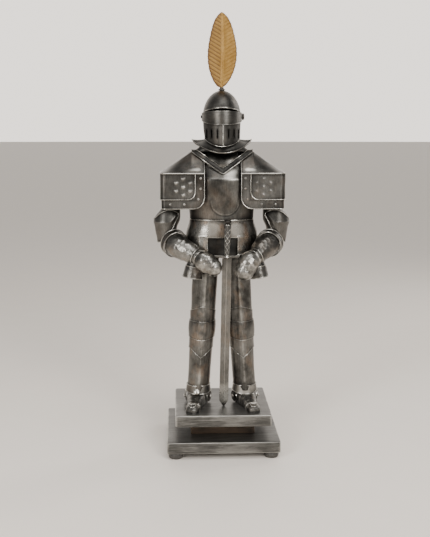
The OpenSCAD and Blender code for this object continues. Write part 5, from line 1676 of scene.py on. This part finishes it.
class KnightHelmet(bpy.types.Operator):
    """Dome with a raised brow, neck flare, visor pivots and plume socket"""

    bl_idname = "knight.helmet"
    bl_label = "Helmet"

    def execute(self, context):
        sizes = context.scene.knight_sizes
        heart = np.array([0, 0, pivot_z])
        inner_edge = face_half_turn - 0.3
        angle = np.concatenate(
            [
                np.linspace(front + inner_edge, front - inner_edge, 61),
                np.linspace(front - inner_edge - 0.6, front - 360 + inner_edge + 0.6, 99),
            ]
        )[None]
        away = np.where(angle < -270, angle + 360, angle)
        in_face = np.abs(away - front) < face_half_turn
        brow = pivot_z + brow_h - brow_drop * cosd(away) ** 2
        bottom = np.where(in_face, brow, back_low)
        mid = pivot_z + brow_h + 1.5
        v = np.linspace(0, 1, 14)[:, None]
        low_part = lerp(bottom, mid, v)
        rise = sind(np.linspace(0, 90, 36))[1:, None]
        up_part = lerp(mid, pivot_z + dome_r - 0.02, rise) + 0 * angle
        z = np.concatenate([low_part, up_part])
        grid = skull_point(angle, z)
        grid = uneven(grid, sizes, 91, True, 16.0, 0.55)
        brow_gap = np.where(in_face, z - brow, 99)
        wear_and_painted_light = 0.5 * bell(brow_gap, 1.5) - 0.35 * bell(brow_gap - 3.4, 1.6)
        # Painted shade towards the skull's lower edge, above the neck flare.
        wear_and_painted_light = wear_and_painted_light - 0.5 * ease(-z, -(pivot_z - 4), -(back_low + 8))
        parts = [shell(grid, wall, heart, True, wear_and_painted_light)]
        cap_profile = np.array([[3.4, -1.1], [3.4, -0.35], [1.7, -0.02], [0.1, 0.0]])
        parts.append(lathe(cap_profile, [0, 0, pivot_z + dome_r], [0, 0, 1], 36))
        add_piece(
            "skull", parts, "aged_steel", ["helmet_skull"], look="helmet_steel", body="helmet", sharp=30
        )

        a = np.linspace(front + inner_edge - 1, front - inner_edge + 1, 61)
        rim = skull_point(a, pivot_z + brow_h - brow_drop * cosd(a) ** 2 + 0.5, 0.15)
        beads = [bead(rim, 0.75, unit(rim - heart), wear_and_painted_light=0.35)]

        turn = -turns(144)
        t = np.concatenate([np.linspace(0, 1, 30) ** 1.5, [1.5, 2.0]])[:, None]
        low_z = neck_z - 8 + 7 * cosd(2 * turn)[None]
        tip = 2.2 * bell(np.abs(cosd(turn)) - 1, 0.03)[None]
        inwards = np.minimum(t, 1) ** 0.5
        w = lerp(38.0, 21.4, inwards) + tip * (1 - inwards)
        d = lerp(43.0, 28.2, inwards)
        z = np.where(t > 1, lerp(neck_z + 3, neck_z + 6, t - 1), lerp(low_z, neck_z + 3, t))
        z = z + 1.5 * tip * (1 - inwards)
        grid = xyz(w * cosd(turn), d * sind(turn), z)
        grid = uneven(grid, sizes, 93, True, 16.0, 0.8)
        gap = border_distance(grid, sides=("first",))
        # Dirt and painted shade beside the rim bead, and painted shade towards the neck, under the skull.
        wear_and_painted_light = rubbed(gap, 1.0) * 0.25 + dirt_and_shade_beside_bead(gap, 1.2, 1.6) * (gap > 1.2) - 0.55 * ease(gap, 6, 15)
        flare = shell(grid, wall, [0, 0, neck_z - 40], True, wear_and_painted_light)
        plate_turn = turns(48)
        ring = []
        for rr, zz in ((5.1, 1.0), (20.6, 1.0), (20.6, 3.0), (5.1, 3.0)):
            depth = rr if rr < 6 else 27.4
            ring.append(xyz(rr * cosd(plate_turn), depth * sind(plate_turn), np.full(48, neck_z + zz)))
        bearing = closed_grid(np.array(ring), -0.4, wrap_rows=True)
        edge = grid[0]
        beads.append(bead(edge, 0.55, unit(edge - [0, 0, neck_z - 8]), closed=True, sides=8, wear_and_painted_light=0.15))
        add_piece(
            "neck_flare", [flare, bearing], "aged_steel", ["helmet_neck_flare"], look="helmet_steel",
            body="helmet", sharp=35,
        )
        add_piece("helmet_rims", beads, "bright_steel", body="helmet")

        head_x = high("visor_pivots")[0] - 3.0
        pin_in = dome_w - 4
        knob = [
            [0.1, -0.1], [4.0, 0.0], [4.5, 0.4], [4.6, 1.2], [4.3, 2.0], [3.4, 2.7], [1.8, 3.0], [0.1, 3.05]
        ]
        rivet = [[0.1, -0.1], [2.4, 0.0], [2.7, 0.3], [2.2, 0.8], [0.1, 1.0]]
        parts = []
        for s, profile in ((1, knob), (-1, rivet)):
            parts.append(
                lathe(
                    [[0.1, pin_in], [1.5, pin_in], [1.5, head_x + 0.3], [0.1, head_x + 0.3]],
                    [0, 0, pivot_z],
                    [s, 0, 0],
                    20,
                )
            )
            parts.append(lathe(np.array(profile) + [0, head_x], [0, 0, pivot_z], [s, 0, 0], 40, -0.2))
        add_piece("visor_knobs", parts, "bright_steel", ["visor_pivots"], look="dark_band", body="helmet")

        outline = [
            [0.1, -7], [2.8, -7], [2.8, -0.2], [4.7, 0.1], [4.75, 0.8], [4.6, 1.3], [3.4, 1.7], [2.75, 2.4],
            [2.8, 3.7], [2.4, 4.05], [1.65, 4.0], [1.65, -3.6], [0.1, -3.6],
        ]
        add_piece(
            "plume_ferrule",
            [lathe(outline, [0, 0, socket_z], [0, 0, 1], 32)],
            "bright_steel",
            ["plume_socket"],
            look="helmet_steel",
            body="helmet",
        )
        return {"FINISHED"}


visor_w, visor_d = dome_w + 0.4, dome_r + 0.9
visor_low = neck_z - 7


def visor_point(angle, z, out=0.0, ridge=0.0):
    """A point on the visor: round about the pivots above them, nearly upright below, with a ridge down the
    middle."""
    below = np.clip((z - visor_low) / (pivot_z - visor_low), 0, 1)
    w = np.where(z >= pivot_z, visor_w, lerp(visor_w - 1.6, visor_w, below))
    d = np.where(
        z >= pivot_z,
        np.sqrt(np.maximum(visor_d**2 - (z - pivot_z) ** 2, 0)),
        visor_d + 0.6 * sind(180 * (pivot_z - z) / 60),
    )
    d = d + ridge * np.maximum(0, 1 - np.abs(angle - front) / 16)
    return xyz((w + out) * cosd(angle), (d + out) * sind(angle), z)


class KnightVisor(bpy.types.Operator):
    """The plain brow band on the pivots and the slotted, ridged face plate"""

    bl_idname = "knight.visor"
    bl_label = "Visor"

    def execute(self, context):
        sizes = context.scene.knight_sizes
        heart = np.array([0, 0, pivot_z])
        a = np.linspace(10, -190, 121)[None]
        aside = np.minimum(1, np.abs(a - front) / 90) ** 2
        v = np.linspace(0, 1, 25)[:, None]
        z = pivot_z + lerp(lerp(-11, -4.5, aside), lerp(7, 4.5, aside), v)
        grid = visor_point(a, z, wall)
        gap = border_distance(grid)
        wear_and_painted_light = 0.3 * rubbed(gap, 0.8) - 0.25 * bell(gap - 2.2, 1.2)
        band = shell(uneven(grid, sizes, 95, size=15, share=0.3), wall, heart, wear_and_painted_light=wear_and_painted_light)
        edge = grid[0][4:-4]
        rim = bead(edge, 0.4, unit(edge - heart), sides=8, wear_and_painted_light=0.4)
        add_piece(
            "brow_band", [band, rim], "dark_band", ["visor_band"], look="visor_band", body="visor", sharp=30
        )

        half = 66.0
        slits = (7.5, 15.0, 21.3)
        slit_w, slit_low, slit_high = 1.8, neck_z + 4, neck_z + 15

        def edges(x):
            """Angles at which the plate's surface is x from the middle."""
            return np.degrees(np.arccos(np.clip(x / (visor_w + 0.7), -1, 1)))

        cuts = sorted({s * x + k * slit_w / 2 for x in slits for s in (-1, 1) for k in (-1, 1)}, reverse=True)
        marks = [front + half] + [-float(edges(c)) for c in cuts] + [front - half]
        spans, cols = [], []
        for k in range(len(marks) - 1):
            count = max(2, int(round((marks[k] - marks[k + 1]) / 1.6)))
            cols += list(np.linspace(marks[k], marks[k + 1], count, endpoint=False))
            spans += [k % 2 == 1] * count
        cols.append(marks[-1])
        a = np.array(cols)[None]
        aside = np.minimum(1, np.abs(a - front) / 90)
        low_edge = visor_low + 11 * (aside * 90 / half) ** 2
        top_edge = pivot_z - 11 + 6.2 * aside**2 - 0.1
        lower = lerp(low_edge, slit_low, np.linspace(0, 1, 12)[:, None])
        middle = lerp(slit_low, slit_high, np.linspace(0, 1, 12)[1:, None]) + 0 * a
        upper = lerp(slit_high, top_edge, np.linspace(0, 1, 10)[1:, None])
        z = np.concatenate([lower, middle, upper])
        grid = visor_point(a, z, wall, 1.6)
        ridge = 0.4 * bell(a - front, 1.4)
        gap = border_distance(grid, sides=("first",))
        near_slit = np.min([np.abs(np.abs(grid[..., 0]) - x) for x in slits], 0)
        in_rows = ease(z, slit_low - 3, slit_low) * (1 - ease(z, slit_high, slit_high + 3))
        # Painted shade beside the slits.
        wear_and_painted_light = ridge - 0.2 + dirt_and_shade_beside_bead(gap, 0.6, 1.6) - 0.6 * bell(near_slit, 1.6) * in_rows
        top_gap = border_distance(grid, sides=("last",))
        # Painted shade along the top edge, under the brow band.
        wear_and_painted_light = wear_and_painted_light - 0.6 * np.exp(-top_gap / 1.5)
        points, faces, wear_and_painted_light_values = shell(grid, wall, heart, wear_and_painted_light=wear_and_painted_light)
        rows, count = grid.shape[:2]
        solid = np.ones((rows - 1, count - 1), bool)
        slit_start, slit_end = 11, 22
        solid[slit_start:slit_end, np.array(spans)] = False
        keep = solid.ravel()
        total = rows * count
        walls = []
        index = np.arange(total).reshape(rows, count)
        for j in range(count):
            left = solid[slit_start:slit_end, j - 1].all() if j > 0 else None
            right = solid[slit_start:slit_end, j].all() if j < count - 1 else None
            if left is None or right is None or left == right:
                continue
            column = index[slit_start : slit_end + 1, j]
            column = column if right else column[::-1]
            walls.append(np.stack([column[:-1], column[1:], column[1:] + total, column[:-1] + total], -1))
        for row in (slit_start, slit_end):
            for j in np.nonzero(np.array(spans))[0]:
                pair = index[row, [j, j + 1]] if row == slit_end else index[row, [j + 1, j]]
                walls.append(np.array([[pair[1], pair[0], pair[0] + total, pair[1] + total]]))
        flipped = not np.array_equal(faces[0][0], grid_quads(rows, count)[0])
        walls = [w[:, ::-1] for w in walls] if flipped else walls
        faces = [faces[0][keep], faces[1][keep], *faces[2:], *walls]
        beads = [bead(grid[0], 0.55, unit(grid[0] - heart), wear_and_painted_light=0.5)]
        crest = grid[:, int(np.argmin(np.abs(a[0] - front)))]
        beads.append(bead(crest[1:-1], 0.35, [0, -1, 0], sides=8, wear_and_painted_light=0.4))
        add_piece(
            "face_plate", [(points, faces, wear_and_painted_light_values)], "aged_steel", ["visor_face_plate"], look="helmet_steel",
            body="visor", sharp=30,
        )
        add_piece("face_plate_beads", beads, "bright_steel", body="visor")
        return {"FINISHED"}


# ------------------------------------------------------------------ plume


class KnightPlume(bpy.types.Operator):
    """One embossed leaf with a midrib and slanted veins"""

    bl_idname = "knight.plume"
    bl_label = "Plume"

    def execute(self, context):
        sizes = context.scene.knight_sizes
        base, top = socket_z + 4.2, high("plume")[2]
        height = top - base
        v = np.concatenate(
            [np.linspace(0, 0.94, 150), 0.94 + 0.0598 * sind(np.linspace(0, 90, 24))[1:]]
        )[:, None]
        u = np.linspace(-1, 1, 61)[None]
        fullness = 0.75 - 0.25 * ease(v, 0.55, 1)
        half = 2.4 + 17.9 * np.maximum(sind(180 * v**0.88), 0) ** fullness * (1 - 0.1 * v)
        half = half * np.sqrt(1 - v**16)
        ragged = 1 + 0.012 * np.sin(v * 190 + 2 * np.sign(u)) + 0.01 * np.sin(v * 77 + 5 * np.sign(u))
        mid = 1.4 * sind(180 * v) - 1.2 * (1 - v)
        x = mid + u * half * ragged
        z = base + height * v
        fold = 1.6 * np.abs(u) ** 1.2 * sind(180 * v) ** 0.5
        bow = -2.2 * v**2 + 1.0 * v
        along = v * height - np.abs(u) * half * 0.62
        pitch = height / (sizes.veins + 2)
        phase = (along / pitch) % 1
        vein = bell(
            np.minimum(phase, 1 - phase) * pitch, 0.55
        ) * ease(np.abs(u), 0.06, 0.16) * (1 - ease(np.abs(u), 0.86, 0.99))
        swell = 0.35 * np.sin(np.pi * phase) * ease(np.abs(u), 0.05, 0.3)
        rib = bell(u * half, 0.9)
        y = fold + bow + 0.3 * vein - swell - 0.75 * rib * (1 - 0.6 * v)
        face = xyz(x, y, z)
        back = face + np.array([0, 1.0, 0]) + xyz(0, 1.5 * rib * (1 - 0.6 * v) - 0.2 * (1 - np.abs(u)), 0)
        rim = (1 - np.abs(u)) * half
        edge = (
            -1.0 * bell(rim, 1.3)
            - 0.3 * np.exp(-rim / 2.5)
            - 0.8 * (1 - ease(v, 0.02, 0.09)) * np.abs(u) ** 2
        )
        # Painted shade on the left half and painted light on the right half, as if lit from the right; the
        # veins are painted darker on the shaded half.
        shade_side = np.where(u < 0, -0.2, 0.14)
        wear_and_painted_light = edge - np.where(u < 0, 0.95, 0.4) * vein + shade_side + 0.25 * rib
        ring = np.concatenate([face, back[:, ::-1]], 1)
        ring_wear_and_painted_light = np.concatenate([wear_and_painted_light, wear_and_painted_light[:, ::-1]], 1)
        leaf = closed_grid(ring, ring_wear_and_painted_light)
        stem = lathe(
            [[0.1, base - 7.9], [1.5, base - 7.9], [1.5, base + 1.5], [1.0, base + 8], [0.1, base + 9]],
            [0, 0, 0],
            [0, 0, 1],
            20,
            0.1,
        )
        add_piece("plume_leaf", [leaf, stem], "gilt_plume", ["plume"], body="plume", sharp=50)
        return {"FINISHED"}


class KnightHidden(bpy.types.Operator):
    """Finishes for the inner frame, neck post, screws and bolts, whose shapes stay as they are"""

    bl_idname = "knight.hidden"
    bl_label = "Hidden pieces"

    def execute(self, context):
        slots = {s["node"]: s["material_slot"] for s in frame["record"]["subparts"]}
        for node in ("torso_frame", "neck_post", "plinth_screws", "boot_bolts"):
            mesh = frame["nodes"][node].data
            mesh.materials.clear()
            mesh.materials.append(finish[slots[node]])
        return {"FINISHED"}


# ------------------------------------------------------------------ stage

camera_place = (-0.0584, -1.16743, 0.42803)
camera_sensor, camera_lens = 36.0, 57.5
camera_pitch, camera_yaw = 8.8167, 2.4216
middle_of_figure = Vector((0, 0, 0.3))
floor_rings = (0.0, 0.3, 0.8, 2.0, 6.0, 20.0, 60.0)


class KnightStage(bpy.types.Operator):
    """Pale floor, soft studio lights and the camera"""

    bl_idname = "knight.stage"
    bl_label = "Stage"

    def execute(self, context):
        scene = context.scene
        pale = tuple(scene.knight_colours.floor)
        material, tree = new_tree("pale_floor")
        cloth = grain(tree, 60.0, detail=3.0)
        tone = mixed(tree, spread(tree, cloth, 0.3, 0.7), shade(pale, 0.985), pale)
        finish_tree(tree, tone, 0.6, cloth, (0.02, 0.1), metallic=0.0)
        r = np.array(floor_rings)[:, None] * 1000
        turn = turns(64)
        grid = xyz(r * cosd(turn), r * sind(turn), 0)
        quads = grid_quads(len(r), len(turn), True)
        floor = make_mesh("floor", [(grid.reshape(-1, 3), [quads], np.zeros(grid.size // 3))], material)

        world = bpy.data.worlds.new("studio")
        world.use_nodes = True
        scene.world = world
        nodes = world.node_tree
        nodes.nodes.clear()
        way = add(nodes, "ShaderNodeSeparateXYZ", {0: add(nodes, "ShaderNodeTexCoord").outputs["Generated"]})
        behind = spread(nodes, way.outputs["Y"], 0.45, 0.85)
        strength = spread(nodes, way.outputs["Y"], 0.45, 0.85, 0.52, 1.95)
        tone = mixed(nodes, behind, (0.62, 0.6, 0.58, 1), shade(pale, 1.12))
        light = add(nodes, "ShaderNodeBackground", {"Color": tone, "Strength": strength})
        add(nodes, "ShaderNodeOutputWorld", {"Surface": light.outputs[0]})

        lights = (
            ("key", (0.7, -1.35, 0.95), (0.45, 0.9), 17, (1.0, 0.97, 0.93)),
            ("fill", (-0.95, -1.2, 0.8), (0.4, 0.9), 15, (1.0, 0.97, 0.93)),
            ("top", (0.1, -0.5, 1.6), (1.0, 0.5), 9, (1.0, 0.98, 0.95)),
            ("rim", (1.2, 0.8, 0.9), (0.3, 1.0), 7, (1.0, 0.95, 0.9)),
        )
        for name, place, size, power, colour in lights:
            data = bpy.data.lights.new(name, "AREA")
            data.shape = "RECTANGLE"
            data.size, data.size_y = size
            data.energy = power
            data.color = colour
            obj = bpy.data.objects.new(name, data)
            obj.location = place
            obj.rotation_euler = (middle_of_figure - Vector(place)).to_track_quat("-Z", "Y").to_euler()
            scene.collection.objects.link(obj)

        data = bpy.data.cameras.new("camera")
        data.sensor_width, data.lens = camera_sensor, camera_lens
        camera = bpy.data.objects.new("camera", data)
        camera.location = camera_place
        pitch, yaw = math.radians(camera_pitch), math.radians(camera_yaw)
        ahead = Vector((math.sin(yaw) * math.cos(pitch), math.cos(yaw) * math.cos(pitch), -math.sin(pitch)))
        camera.rotation_euler = ahead.to_track_quat("-Z", "Y").to_euler()
        scene.collection.objects.link(camera)
        scene.camera = camera
        return {"FINISHED"}


class KnightPanel(bpy.types.Panel):
    """Lists the pieces of the statuette"""

    bl_idname = "VIEW3D_PT_knight"
    bl_label = "Knight statuette"
    bl_space_type = "VIEW_3D"
    bl_region_type = "UI"
    bl_category = "Knight"

    def draw(self, context):
        for group in (context.scene.knight_sizes, context.scene.knight_colours):
            for key in group.__annotations__:
                self.layout.prop(group, key)
        for operator in operators:
            self.layout.operator(operator.bl_idname)


operators = (
    KnightStage,
    KnightPlinth,
    KnightLegs,
    KnightKnees,
    KnightBoots,
    KnightTorso,
    KnightCollar,
    KnightShoulders,
    KnightArms, KnightGauntlets, KnightSword, KnightHelmet, KnightVisor, KnightPlume, KnightHidden,
)
classes = (KnightColours, KnightSizes, *operators, KnightPanel)


def register():
    for cls in classes:
        bpy.utils.register_class(cls)
    bpy.types.Scene.knight_colours = PointerProperty(type=KnightColours)
    bpy.types.Scene.knight_sizes = PointerProperty(type=KnightSizes)


def unregister():
    del bpy.types.Scene.knight_sizes
    del bpy.types.Scene.knight_colours
    for cls in reversed(classes):
        bpy.utils.unregister_class(cls)


def main():
    register()
    make_materials(bpy.context.scene.knight_colours)
    for operator in operators:
        getattr(bpy.ops.knight, operator.bl_idname.split(".")[1])()


if __name__ == "__main__":
    main()
